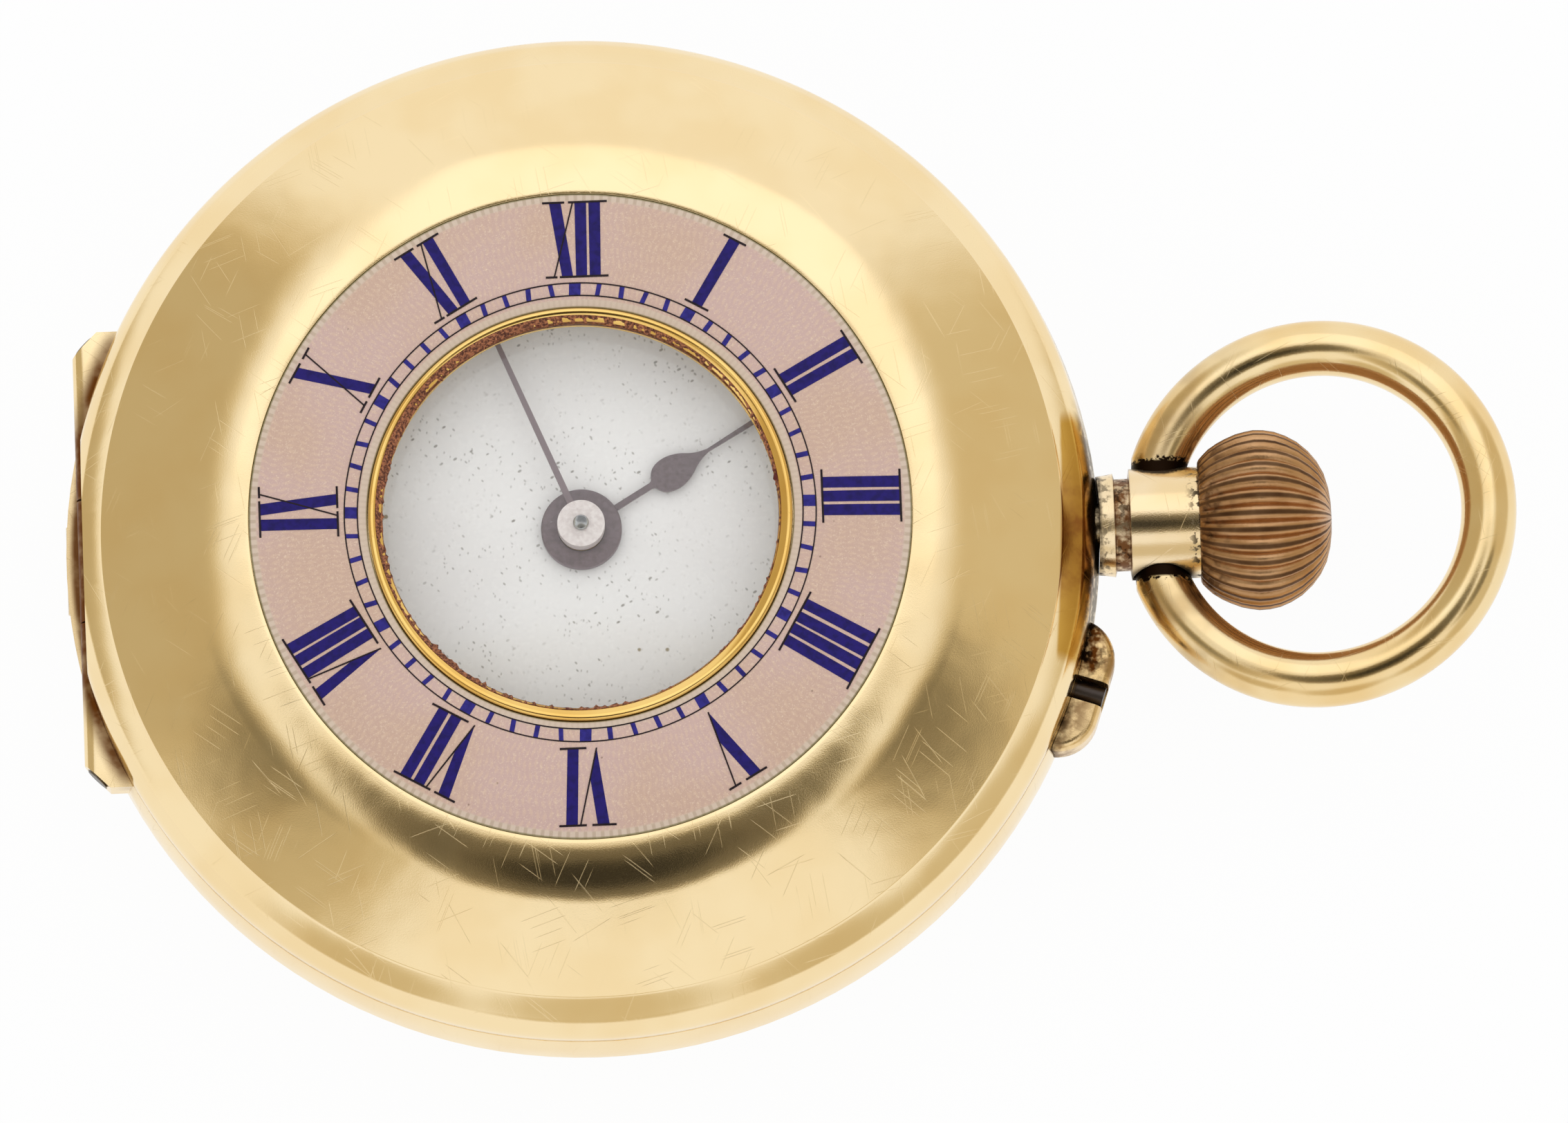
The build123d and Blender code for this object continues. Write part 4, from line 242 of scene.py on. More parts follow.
def steel_finish(name, colour, rough=0.25, grain=0.4, turn=0.0):
    """Steel with a fine grain that runs one way."""
    f = Finish(name)
    lines = f.noise(1.0, 2.0, 0.5, f.stretched(turn, (2.0, 40.0, 2.0)))
    broad = f.noise(0.8, 2.0)
    shade = f.mix(broad, colour, tuple(0.72 * c for c in colour))
    roughness = rough + (lines - 0.5) * grain * 0.4
    relief = f.bump(lines, 0.002)
    return f.surface(shade, roughness, relief)


def frosted_finish():
    """Gilt brass with a fine frosted grain."""
    f = Finish("frosted gilding")
    colour = srgb(232, 198, 118)
    grain = f.noise(28.0, 2.0)
    broad = f.noise(0.5, 2.0)
    shade = f.mix(broad, colour, tuple(0.82 * c for c in colour))
    relief = f.bump(grain, 0.006)
    roughness = 0.42 + (grain - 0.5) * 0.15
    return f.surface(shade, roughness, relief)


def turned_finish():
    """Turned brass with a fine grain."""
    f = Finish("turned brass")
    colour = srgb(236, 206, 128)
    grain = f.noise(18.0, 3.0)
    shade = f.mix(grain, colour, tuple(0.8 * c for c in colour))
    relief = f.bump(grain, 0.003)
    roughness = 0.22 + (grain - 0.5) * 0.12
    return f.surface(shade, roughness, relief)


def enamel_finish():
    """Pale pink enamel over an engraved sunburst, with a lined pale border at both edges."""
    f = Finish("pink enamel over engraving")
    radius, angle = f.polar()
    swirl = f.noise(0.5, 1.0) * 5.0
    rays = (angle * 290.0 + (radius * 5.0 + swirl).sin() * 2.0).sin()
    waves = (radius * 15.0 + (angle * 70.0).sin() * 1.2 + swirl).sin()
    engraving = rays * 0.6 + waves * 0.4
    flecks = f.noise(11.0, 3.0, 0.7)
    points = f.noise(19.0, 2.0, 0.8)
    cloud = f.noise(0.22, 2.0)
    pink = f.mix(cloud.between(0.35, 0.65), srgb(199, 169, 160), srgb(198, 167, 148))
    pink = f.mix(engraving.between(-0.1, 0.9) * 0.38, pink, srgb(216, 187, 160))
    pink = f.mix(flecks.between(0.56, 0.66) * 0.5, pink, srgb(222, 199, 174))
    pink = f.mix(points.between(0.6, 0.7) * 0.55, pink, srgb(234, 214, 188))
    pink = f.mix(points.between(0.4, 0.3) * 0.3, pink, srgb(176, 140, 128))
    outer = radius.between(10.84, 10.93)
    inner = 1 - radius.between(7.40, 7.47)
    border = outer + inner
    comb = (angle * 240.0).sin().between(-0.2, 0.7)
    pale = f.mix(comb * (0.2 + outer * 0.4), srgb(208, 190, 170), srgb(172, 152, 128))
    colour = f.mix(border * 0.85, pink, pale)
    edge = radius.between(11.06, 11.11) + (1 - radius.between(7.17, 7.22))
    colour = f.mix(edge * 0.75, colour, srgb(112, 106, 52))
    specks = 1 - f.cells(0.9).between(0.02, 0.045)
    colour = f.mix(specks * 0.6, colour, srgb(120, 96, 80))
    relief = f.bump(f.noise(1.6, 2.0), 0.008)
    return f.surface(colour, 0.2 + flecks * 0.12, relief, 0.0, **{"Specular IOR Level": 0.4})


def paint_finish(name, colour, other):
    """Fired enamel paint, slightly uneven."""
    f = Finish(name)
    uneven = f.noise(5.0, 3.0)
    shade = f.mix(uneven.between(0.35, 0.75), colour, other)
    roughness = 0.28 + uneven * 0.2
    relief = f.bump(uneven, 0.003)
    return f.surface(shade, roughness, relief, 0.0, **{"Specular IOR Level": 0.2})


def cement_finish():
    """Old red-brown cement, dry and crumbly."""
    f = Finish("old red cement")
    crumbs = f.noise(11.0, 4.0, 0.75)
    streak = f.noise(2.2, 2.0)
    colour = f.mix(crumbs.between(0.4, 0.62), srgb(78, 32, 16), srgb(186, 118, 78))
    colour = f.mix(streak.between(0.62, 0.72), colour, srgb(96, 24, 12))
    relief = f.bump(crumbs, 0.06)
    return f.surface(colour, 0.55 + crumbs * 0.3, relief, 0.0)


def dial_finish():
    """White enamel with dust and a few brown crumbs."""
    f = Finish("white enamel dial")
    cloud = f.noise(0.18, 2.0)
    colour = f.mix(cloud.between(0.3, 0.7), srgb(249, 246, 243), srgb(244, 240, 237))
    mist = f.noise(2.4, 4.0, 0.7)
    colour = f.mix(mist.between(0.64, 0.8) * 0.3, colour, srgb(206, 204, 200))
    patch = f.noise(0.45, 1.0).between(0.44, 0.58)
    specks = ((30, 1.5, 0.15, 0.8), (-50, 2.3, 0.19, 0.6), (80, 3.1, 0.22, 0.45))
    for turn, many, big, depth in specks:
        at = f.stretched(turn, (1.0, 1.7, 1.0))
        dust = 1 - f.cells(many, at=at).between(big * 0.4, big)
        colour = f.mix(dust * (0.3 + patch * 0.7) * depth, colour, srgb(128, 120, 108))
    crumbs = 1 - f.cells(0.55).between(0.035, 0.06)
    colour = f.mix(crumbs * 0.85, colour, srgb(140, 120, 74))
    return f.surface(colour, 0.22 + mist * 0.1, f.bump(mist, 0.003), 0.0)


def glass_finish(name, haze):
    """Clear glass: it reflects by angle, lets light straight through and holds a little haze."""
    f = Finish(name)
    smear = f.noise(0.6, 3.0, 0.6)
    specks = 1 - f.cells(1.1).between(0.02, 0.05)
    fresnel = f.node("ShaderNodeFresnel", {}, {"IOR": 1.45})
    fresnel = fresnel * (1 - f.node("ShaderNodeNewGeometry", output="Backfacing"))
    clear = f.node("ShaderNodeBsdfTransparent", {}, {"Color": (0.985, 0.99, 0.99)})
    shine = f.node("ShaderNodeBsdfGlossy", {}, {"Color": (1.0, 1.0, 1.0), "Roughness": 0.04})
    body = f.node("ShaderNodeMixShader", {}, [fresnel, clear, shine])
    dust = f.node("ShaderNodeBsdfDiffuse", {}, {"Color": srgb(196, 198, 200)})
    share = smear.between(0.4, 0.75) * haze + specks * 0.15 * smear.between(0.45, 0.6)
    mixed = f.node("ShaderNodeMixShader", {}, [share, body, dust])
    f.node("ShaderNodeOutputMaterial", {}, [mixed])
    f.material.surface_render_method = "BLENDED"
    return f.material


def hand_finish():
    """Old grey metal of the hour hand, dull and slightly spotted."""
    f = Finish("grey of the hands")
    spots = f.noise(6.0, 4.0, 0.65)
    colour = srgb(146, 128, 134)
    shade = f.mix(spots.between(0.35, 0.7), colour, tuple(0.74 * c for c in colour))
    relief = f.bump(spots, 0.01)
    roughness = 0.45 + (spots - 0.5) * 0.2
    return f.surface(shade, roughness, relief, 0.75)


def minute_finish():
    """The minute hand: its pale polished boss and its grey-mauve blade."""
    f = Finish("metal of the minute hand")
    radius, _ = f.polar()
    blade = radius.between(0.8, 0.84)
    spots = f.noise(6.0, 4.0, 0.65)
    boss = f.mix(spots.between(0.3, 0.75), srgb(252, 242, 238), srgb(228, 214, 210))
    shade = f.mix(blade, boss, srgb(138, 120, 124))
    relief = f.bump(spots, 0.01)
    roughness = 0.4 + (spots - 0.5) * 0.2
    return f.surface(shade, roughness, relief, 0.3)


def crown_finish():
    """Rose gold with dirt in its flutes and round its skirt."""
    f = Finish("worn rose gold")
    x, y, z = f.axes()
    lift = z - stem_height
    radius = (y * y + lift * lift).power(0.5)
    angle = lift.math("ARCTAN2", y)
    groove = (angle * flutes).sin().between(-0.25, -0.95)
    broad = f.noise(0.8, 3.0)
    fine = f.noise(10.0, 3.0)
    colour = f.mix(broad.between(0.3, 0.7), srgb(206, 164, 122), srgb(186, 142, 98))
    dirt = groove * (0.55 + broad * 0.5)
    skirt = (1 - x.between(21.0, 22.4)) * (0.25 + f.noise(2.5, 3.0).between(0.4, 0.7) * 0.6)
    tip = 1 - radius.between(0.3, 1.1)
    dirt = dirt.math("MAXIMUM", skirt).math("MAXIMUM", tip * 0.25)
    colour = f.mix(dirt, colour, srgb(62, 36, 22))
    roughness = 0.27 + fine * 0.12 + dirt * 0.3
    relief = f.bump(fine, 0.008)
    return f.surface(colour, roughness, relief)


def ruby_finish():
    """Polished ruby of the jewels."""
    f = Finish("ruby jewel")
    cloud = f.noise(2.0, 2.0)
    colour = f.mix(cloud, srgb(176, 24, 50), srgb(132, 10, 34))
    return f.surface(colour, 0.06 + cloud * 0.04, None, 0.0, **{"Coat Weight": 0.6})


degrees = 180 / math.pi


def hinge_dirt(f):
    """Brown dirt on the band behind the front hinge and on the hinge's seat beside the lid."""
    x, y, z = f.axes()
    radius, _ = f.polar()
    along = 1 - y.math("ABSOLUTE").between(7.0, 8.4)
    shelf = (1 - x.between(-16.3, -15.6)) * (1 - z.between(5.2, 5.3))
    pale_edge = 1 - radius.between(17.15, 17.4) * 0.75
    seat = (1 - radius.between(17.4, 17.95)) * (1 - x.between(-15.6, -15.2))
    seat = seat * z.between(5.5, 5.7) * (1 - z.between(6.2, 6.24))
    smear = f.noise(1.1, 3.0, 0.6).between(0.3, 0.6)
    return along * (shelf * (0.7 + smear * 0.25) * pale_edge + seat * (0.75 + smear * 0.25))


def rim_painted_reflection(f):
    """A crescent of dark yellow on the lid's rim beside the pendant: a painted reflection of the
    pendant.
    """
    radius, angle = f.polar()
    _, _, z = f.axes()
    turn = (angle * degrees + 3.0).math("ABSOLUTE") + (f.noise(0.7, 2.0) - 0.5) * 2.0
    inner = (turn / 15.5).power(2.0) * 0.5 + 16.08
    mask = (radius - inner).between(0.0, 0.12) * (1 - turn.between(13.5, 15.5))
    mask = mask * z.between(6.0, 6.2)
    spots = f.noise(1.2, 3.0, 0.6)
    middle = (1 - turn.between(2.0, 12.0)) * (0.45 + spots.between(0.35, 0.7) * 0.55)
    return mask * 0.95, srgb(204, 158, 66), middle


def rim_soot(f):
    """Black dirt in the corner between the lid, the case and the pendant."""
    radius, angle = f.polar()
    turn = (angle * degrees + 1.0).math("ABSOLUTE")
    _, _, z = f.axes()
    corner = radius.between(17.0, 17.25) * (1 - turn.between(9.0, 16.0)) * z.between(4.6, 5.2)
    return corner * f.noise(2.4, 3.0, 0.6).between(0.3, 0.55) * 0.8


def neck_groove(x):
    """1 in the pendant's groove."""
    return x.between(17.9, 18.02) * (1 - x.between(18.42, 18.55))


def pendant_dirt(f):
    """Brown dirt in the pendant's groove."""
    x, _, _ = f.axes()
    return neck_groove(x) * (0.35 + f.noise(2.6, 3.0, 0.6).between(0.35, 0.6) * 0.6)


def pendant_soot_and_gap_shade(f):
    """Black dirt against the case, in the groove and at the crown's lip, and painted shade in the gaps
    round the bow's ends.
    """
    x, y, z = f.axes()
    grain = f.noise(3.0, 3.0, 0.6)
    foot = (1 - x.between(17.45, 17.62)) * (0.35 + grain.between(0.35, 0.6) * 0.6)
    collar = (1 - x.between(17.7, 17.95)) * grain.between(0.5, 0.6) * 0.6
    groove = neck_groove(x) * grain.between(0.54, 0.62) * 0.6
    lip = x.between(20.3, 20.75) * f.noise(4.0, 2.0, 0.6).between(0.5, 0.58) * 0.9
    lift = z - stem_height
    away = ((x - bow_pivot) * (x - bow_pivot) + lift * lift).power(0.5)
    # Painted shade of the gaps where the bow's ends go into the pendant
    eye = y.math("ABSOLUTE").between(1.5, 1.85) * (1 - away.between(1.0, 1.4)) * 0.85
    dark = foot.math("MAXIMUM", collar).math("MAXIMUM", groove)
    return dark.math("MAXIMUM", lip).math("MAXIMUM", eye)


def bow_end_brown(f):
    """Brown on the bow near its ends, by the pendant."""
    x, y, _ = f.axes()
    low = (1 - x.between(19.5, 23.5)) * y.math("ABSOLUTE").between(1.9, 2.2)
    return low * (0.1 + f.noise(0.8, 2.0).between(0.4, 0.65) * 0.22)


def bow_gap_shade(f):
    """Black where the bow's ends meet the pendant: painted shade of the gap between them."""
    x, y, _ = f.axes()
    grain = f.noise(4.5, 3.0, 0.6)
    reach = 1.96 + grain.between(0.45, 0.65) * 0.16
    return (1 - (y.math("ABSOLUTE") - reach).between(0.0, 0.1)) * (1 - x.between(21.0, 21.2))


def guard_dirt(f):
    """Brown dirt on the push-piece's guard, thick near the case."""
    _, y, _ = f.axes()
    radius, _ = f.polar()
    near = 1 - radius.between(17.7, 18.3)
    upper = y.between(-6.4, -5.0)
    patchy = f.noise(1.8, 3.0, 0.6).between(0.35, 0.6)
    return (0.12 + near * 0.5 + upper * 0.45) * patchy


def guard_soot(f):
    """Black dirt between the guard and the case."""
    radius, _ = f.polar()
    _, y, _ = f.axes()
    near = 1 - radius.between(17.3, 17.75)
    patchy = f.noise(2.6, 3.0, 0.6)
    crust = near * (0.3 + patchy.between(0.35, 0.6) * 0.6)
    return crust + y.between(-6.0, -4.9) * patchy.between(0.5, 0.62) * 0.5


gold = gold_finish(
    "satin gold",
    srgb(247, 224, 178),
    srgb(244, 218, 168),
    dirt=hinge_dirt,
    soot_and_shade=rim_soot,
    painted_reflection=rim_painted_reflection,
)
gold_plain = gold_finish("satin gold of the back", srgb(246, 222, 174), srgb(242, 216, 166), 0.2)
gold_bright = gold_finish("bright gold", srgb(246, 208, 128), srgb(236, 190, 104), 0.12, 0.4)
gold_bow = gold_finish(
    "gold of the bow", srgb(244, 220, 172), srgb(238, 206, 148), 0.15, 0.8, bow_end_brown, bow_gap_shade
)
gold_neck = gold_finish(
    "gold of the pendant",
    srgb(246, 224, 186),
    srgb(240, 212, 162),
    0.15,
    1.6,
    pendant_dirt,
    pendant_soot_and_gap_shade,
)
gold_guard = gold_finish(
    "gold of the push-piece guard",
    srgb(240, 210, 158),
    srgb(226, 190, 128),
    0.2,
    1.2,
    guard_dirt,
    guard_soot,
)
grey_steel = steel_finish("worn grey steel", srgb(128, 120, 112), 0.38)
dark_steel = steel_finish("dark steel", srgb(82, 74, 70), 0.4)
bright_steel = steel_finish("polished steel", srgb(206, 206, 208), 0.16, 0.3, 35)
spring_steel = steel_finish("spring steel", srgb(176, 178, 186), 0.22, 0.3, 70)
blued_steel = steel_finish("blued steel", srgb(58, 74, 150), 0.2, 0.2)
gilding = frosted_finish()
wheel_brass = turned_finish()
crown_gold = crown_finish()
pink_enamel = enamel_finish()
blue_paint = paint_finish("dark blue enamel paint", srgb(30, 17, 106), srgb(22, 11, 82))
tick_paint = paint_finish("blue enamel paint of the minutes", srgb(44, 38, 128), srgb(32, 24, 100))
brown_paint = paint_finish("brown-black enamel paint", srgb(34, 20, 26), srgb(22, 12, 20))
red_cement = cement_finish()
white_enamel = dial_finish()
window_clear = glass_finish("window glass", 0.012)
dial_clear = glass_finish("dial glass", 0.006)
hand_grey = hand_finish()
hand_silver = minute_finish()
ruby = ruby_finish()

# Shapes


def finished(bm, name, material, smooth_under=32.0):
    """An object from a bmesh, smooth except at sharp edges, at the origin."""
    bmesh.ops.remove_doubles(bm, verts=bm.verts, dist=1e-7)
    bmesh.ops.recalc_face_normals(bm, faces=bm.faces)
    mesh = bpy.data.meshes.new(name)
    bm.to_mesh(mesh)
    bm.free()
    for polygon in mesh.polygons:
        polygon.use_smooth = True
    mesh.set_sharp_from_angle(angle=math.radians(smooth_under))
    mesh.materials.append(material)
    piece = bpy.data.objects.new(name, mesh)
    bpy.context.scene.collection.objects.link(piece)
    return piece


def rounded(bm, corner, soft, segments):
    """Rounds one corner of a line or a flat face."""
    bmesh.ops.bevel(
        bm,
        geom=[corner],
        offset=soft * mm,
        offset_type="OFFSET",
        segments=segments,
        profile=0.5,
        affect="VERTICES",
        material=-1,
    )


def outlined(bm, outline, closed):
    """A line in the plane of radius and height, with its corners rounded."""
    corners = [bm.verts.new((r * mm, 0, z * mm)) for r, z, _ in outline]
    ends = corners[1:] + corners[:1] if closed else corners[1:]
    for one, other in zip(corners, ends):
        bm.edges.new((one, other))
    for corner, (_, _, soft) in zip(corners, outline):
        if soft:
            rounded(bm, corner, soft, max(3, min(14, round(soft * 24))))


def turned(outline, steps=288, closed=True):
    """A ring or disc turned about the hand axis."""
    bm = bmesh.new()
    outlined(bm, outline, closed)
    bmesh.ops.spin(
        bm,
        geom=bm.verts[:] + bm.edges[:],
        cent=(0, 0, 0),
        axis=(0, 0, 1),
        angle=math.tau,
        steps=steps,
        use_merge=True,
    )
    bmesh.ops.remove_doubles(bm, verts=bm.verts, dist=1e-7)
    return bm


def raised(bm, face, thick):
    """Gives a flat face its thickness in millimetres."""
    lifted = bmesh.ops.extrude_face_region(bm, geom=[face])
    moved = [v for v in lifted["geom"] if isinstance(v, bmesh.types.BMVert)]
    bmesh.ops.translate(bm, verts=moved, vec=(0, 0, thick * mm))


def cut_flat(bm, x):
    """Cuts off what lies beyond x on the hinge side and closes the cut."""
    cut = bmesh.ops.bisect_plane(
        bm,
        geom=bm.verts[:] + bm.edges[:] + bm.faces[:],
        plane_co=(x * mm, 0, 0),
        plane_no=(-1, 0, 0),
        clear_outer=True,
    )
    edges = [e for e in cut["geom_cut"] if isinstance(e, bmesh.types.BMEdge)]
    made = bmesh.ops.holes_fill(bm, edges=edges, sides=0)
    bmesh.ops.triangulate(bm, faces=made["faces"])


def knuckle(radius, length, x, z, soft, web_middle, web_wide, web_high):
    """A hinge knuckle: a rod along Y with softened rims and a web to the cover it carries."""
    bm = bmesh.new()
    place = Matrix.Translation(Vector((x, 0, z)) * mm) @ Matrix.Rotation(math.radians(90), 4, "X")
    bmesh.ops.create_cone(
        bm,
        cap_ends=True,
        segments=48,
        radius1=radius * mm,
        radius2=radius * mm,
        depth=length * mm,
        matrix=place,
    )
    rims = [e for e in bm.edges if any(len(face.verts) > 4 for face in e.link_faces)]
    bmesh.ops.bevel(
        bm, geom=rims, offset=soft * mm, segments=3, profile=0.5, affect="EDGES", material=-1
    )
    middle = Vector((x, 0, web_middle)) * mm
    size = Vector((web_wide, length, web_high)) * mm
    bmesh.ops.create_cube(bm, size=1, matrix=Matrix.LocRotScale(middle, None, size))
    return bm


def arc(centre, radius, start, end, count):
    """Points of an outline on an arc, angles counted from outward to upward."""
    points = []
    for step in range(count + 1):
        angle = math.radians(start + (end - start) * step / count)
        points.append((centre[0] + radius * math.cos(angle), centre[1] + radius * math.sin(angle), 0))
    return points


def dress(names, material, smooth_under=30.0):
    """Gives CAD pieces their finish and smooth shading that keeps sharp edges."""
    for name in names:
        node = nodes[name]
        node.data.materials.clear()
        node.data.materials.append(material)
        for polygon in node.data.polygons:
            polygon.use_smooth = True
            polygon.material_index = 0
        weld = node.modifiers.new("weld", "WELD")
        weld.merge_threshold = 1e-7
        split = node.modifiers.new("edges", "EDGE_SPLIT")
        split.split_angle = math.radians(smooth_under)


# Front cover

lid_outline = [
    (17.3, 6.23, 0.05),
    (17.3, 6.84, 0.28),
    (16.93, 7.46, 0.12),
    (16.24, 7.95, 0),
    (16.17, 8.05, 0.02),
    (12.35, 9.79, 1.05),
    (11.15, 9.8, 0.02),
    (11.15, 9.55, 0),
    (6.95, 9.55, 0),
    (6.95, 9.2, 0.03),
    (12.5, 9.2, 0.3),
    (15.945, 7.6, 0.2),
    (16.5, 7.225, 0),
    (16.85, 6.75, 0.1),
    (16.85, 6.23, 0.05),
]
bm = turned(lid_outline, 320)
cut_flat(bm, -16.8)
lid = finished(bm, "lid_shell", gold)
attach(lid, "front_lid")
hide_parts("front_cover")

lid_web = {"web_middle": 6.35, "web_wide": 0.4, "web_high": 1.25}
bm = knuckle(radius=0.42, length=4.2, x=-16.6, z=5.72, soft=0.05, **lid_web)
lid_knuckle = finished(bm, "lid_knuckle", gold)
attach(lid_knuckle, "front_lid")

enamel_foot = 9.56
enamel_inner, enamel_crest, enamel_outer = (7.15, 9.98), (9.2, 9.915), (11.14, 9.80)
enamel_outline = [
    (enamel_inner[0], enamel_foot, 0),
    (enamel_outer[0], enamel_foot, 0),
    (*enamel_outer, 0.05),
    (*enamel_crest, 0.6),
    (*enamel_inner, 0.05),
]
chapter = finished(turned(enamel_outline, 320), "chapter_ring", pink_enamel)
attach(chapter, "front_lid")
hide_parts("enamel_ring")

slope_radius, slope_foot, slope_rise = 6.68, 9.91, 0.7
bezel_outline = [
    (6.66, 9.2, 0.03),
    (6.94, 9.2, 0),
    (6.94, 9.56, 0),
    (7.13, 9.56, 0),
    (7.13, 10.08, 0.09),
    (6.95, 10.1, 0.07),
    (slope_radius, slope_foot, 0.02),
    (slope_radius, 9.87, 0),
    (6.82, 9.77, 0),
    (6.82, 9.35, 0),
    (6.66, 9.35, 0.03),
]
ring = finished(turned(bezel_outline, 320), "window_ring", gold_bright)
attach(ring, "front_lid")
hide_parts("window_bezel")

pane_outline = [(0, 9.36, 0), (6.75, 9.36, 0), (6.75, 9.76, 0), (6.65, 9.86, 0.04), (0, 9.86, 0)]
pane = finished(turned(pane_outline, 200, closed=False), "window_pane", window_clear)
pane.visible_shadow = pane.visible_diffuse = False
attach(pane, "front_lid")
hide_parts("window_glass")

# The cement lies up the ring's slope and is widest at the upper left; its inner edge is ragged
cement_steps = 420
wide_side = math.radians(138)
cement_outline = [
    (6.76, 9.36, 0),
    (6.81, 9.36, 0),
    (6.81, 9.78, 0),
    (6.90, 10.10, 0),
    (6.59, 9.87, 0.02),
    (6.66, 9.87, 0),
    (6.76, 9.77, 0),
]
bm = turned(cement_outline, cement_steps)
wander = {}
for vert in bm.verts:
    radius = math.hypot(vert.co.x, vert.co.y)
    side = math.atan2(vert.co.y, vert.co.x)
    full = 0.5 + 0.5 * math.cos(side - wide_side)
    if vert.co.z > 10.0 * mm:
        reach = 6.70 + 0.20 * full
        height = slope_foot + 0.02 + (reach - slope_radius) * slope_rise
        vert.co = Vector((reach * math.cos(side), reach * math.sin(side), height)) * mm
    elif radius < 6.63 * mm:
        turn = round(math.degrees(side) * cement_steps / 360)
        if turn not in wander:
            slow = 0.035 * math.sin(turn * 0.11) + 0.02 * math.sin(turn * 0.041 + 1)
            spike = random.random() ** 6 * 0.16
            inward = -0.06 * full - 0.11 * (1 - full)
            ragged = slow * 0.7 + spike * 0.6 + random.random() * 0.05
            wander[turn] = 1 - (inward + ragged) / 6.6
        vert.co.x *= wander[turn]
        vert.co.y *= wander[turn]
cement = finished(bm, "cement_bead", red_cement)
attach(cement, "front_lid")
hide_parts("glass_cement")

# Numerals and minute track, painted on the chapter ring

painting_lift = 0.085
stroke_low, stroke_high = 8.14, 10.76


def enamel_height(radius):
    """The enamel's surface at a radius, in millimetres."""
    inside = radius < enamel_crest[0]
    near, far = (enamel_inner, enamel_crest) if inside else (enamel_crest, enamel_outer)
    return near[1] + (radius - near[0]) * (far[1] - near[1]) / (far[0] - near[0])


def clock(angle):
    """The ways outward and across, clockwise, at a clock angle."""
    turn = math.radians(90 - angle)
    outward = Vector((math.cos(turn), math.sin(turn), 0))
    return outward, Vector((math.sin(turn), -math.cos(turn), 0))


def painted(bm, corners, angle, thick=0.012):
    """A flat patch of paint: corners are across and outward, in millimetres, at a clock angle."""
    outward, across = clock(angle)
    verts = []
    for u, v in corners:
        place = outward * v + across * u + Vector((0, painting_lift, 0))
        height = enamel_height(math.hypot(place.x, place.y))
        verts.append(bm.verts.new((place + Vector((0, 0, height))) * mm))
    raised(bm, bm.faces.new(verts), thick)
    bmesh.ops.triangulate(bm, faces=[f for f in bm.faces if len(f.verts) > 4])


def stroke(low, high, v_low, v_high, cuts=4):
    """The corners of a stroke from its left and right edges at its inner and its outer end."""
    left, right = [], []
    for step in range(cuts + 1):
        share = step / cuts
        v = v_low + (v_high - v_low) * share
        left.append((low[0] + (high[0] - low[0]) * share, v))
        right.append((low[1] + (high[1] - low[1]) * share, v))
    return left + right[::-1]


# Each mark's left edge at its outer and its inner end, across from the hour's own line, and for
# a wedge its hairline's outer end
numerals = (
    (("stroke", -0.68, -0.32), ("hair", 0.09, -0.61), ("stroke", 0.18, 0.15), ("stroke", 0.65, 0.61)),
    (("stroke", -0.02, -0.08),),
    (("stroke", -0.45, -0.46), ("stroke", 0.06, 0.02)),
    (("stroke", -0.86, -0.88), ("stroke", -0.38, -0.40), ("stroke", 0.11, 0.07)),
    (
        ("stroke", -0.92, -0.90),
        ("stroke", -0.41, -0.41),
        ("stroke", 0.08, 0.03),
        ("stroke", 0.59, 0.49),
    ),
    (("wedge", -0.41, 0.04, 0.56),),
    (("wedge", -0.61, -0.26, 0.34), ("stroke", 0.46, 0.34)),
    (("wedge", -0.73, -0.33, 0.11), ("stroke", 0.23, 0.17), ("stroke", 0.73, 0.65)),
    (
        ("wedge", -0.83, -0.43, -0.02),
        ("stroke", 0.03, 0.03),
        ("stroke", 0.53, 0.49),
        ("stroke", 1.01, 0.92),
    ),
    (("stroke", -0.21, -0.27), ("stroke", 0.32, 0.57), ("hair", 1.03, 0.17)),
    (("stroke", -0.38, 0.32), ("hair", 0.51, -0.16)),
    (("stroke", -0.43, -0.12), ("hair", 0.37, -0.43), ("stroke", 0.46, 0.36)),
)
outer_width, inner_width, hair_width, serif = 0.39, 0.37, 0.05, 0.07


def serifs(bm, marks, v, overhang, angle):
    """The thin cross strokes at one end of a numeral's marks."""
    joined = []
    for low, high in sorted(marks):
        if joined and low - joined[-1][1] < 0.2:
            joined[-1][1] = max(high, joined[-1][1])
        else:
            joined.append([low, high])
    for number, (low, high) in enumerate(joined):
        left = right = overhang
        if number:
            left = min(overhang, (low - joined[number - 1][1]) * 0.33)
        if number + 1 < len(joined):
            right = min(overhang, (joined[number + 1][0] - high) * 0.33)
        edges = (low - left, high + right)
        painted(bm, stroke(edges, edges, v - serif / 2, v + serif / 2, 1), angle, 0.022)


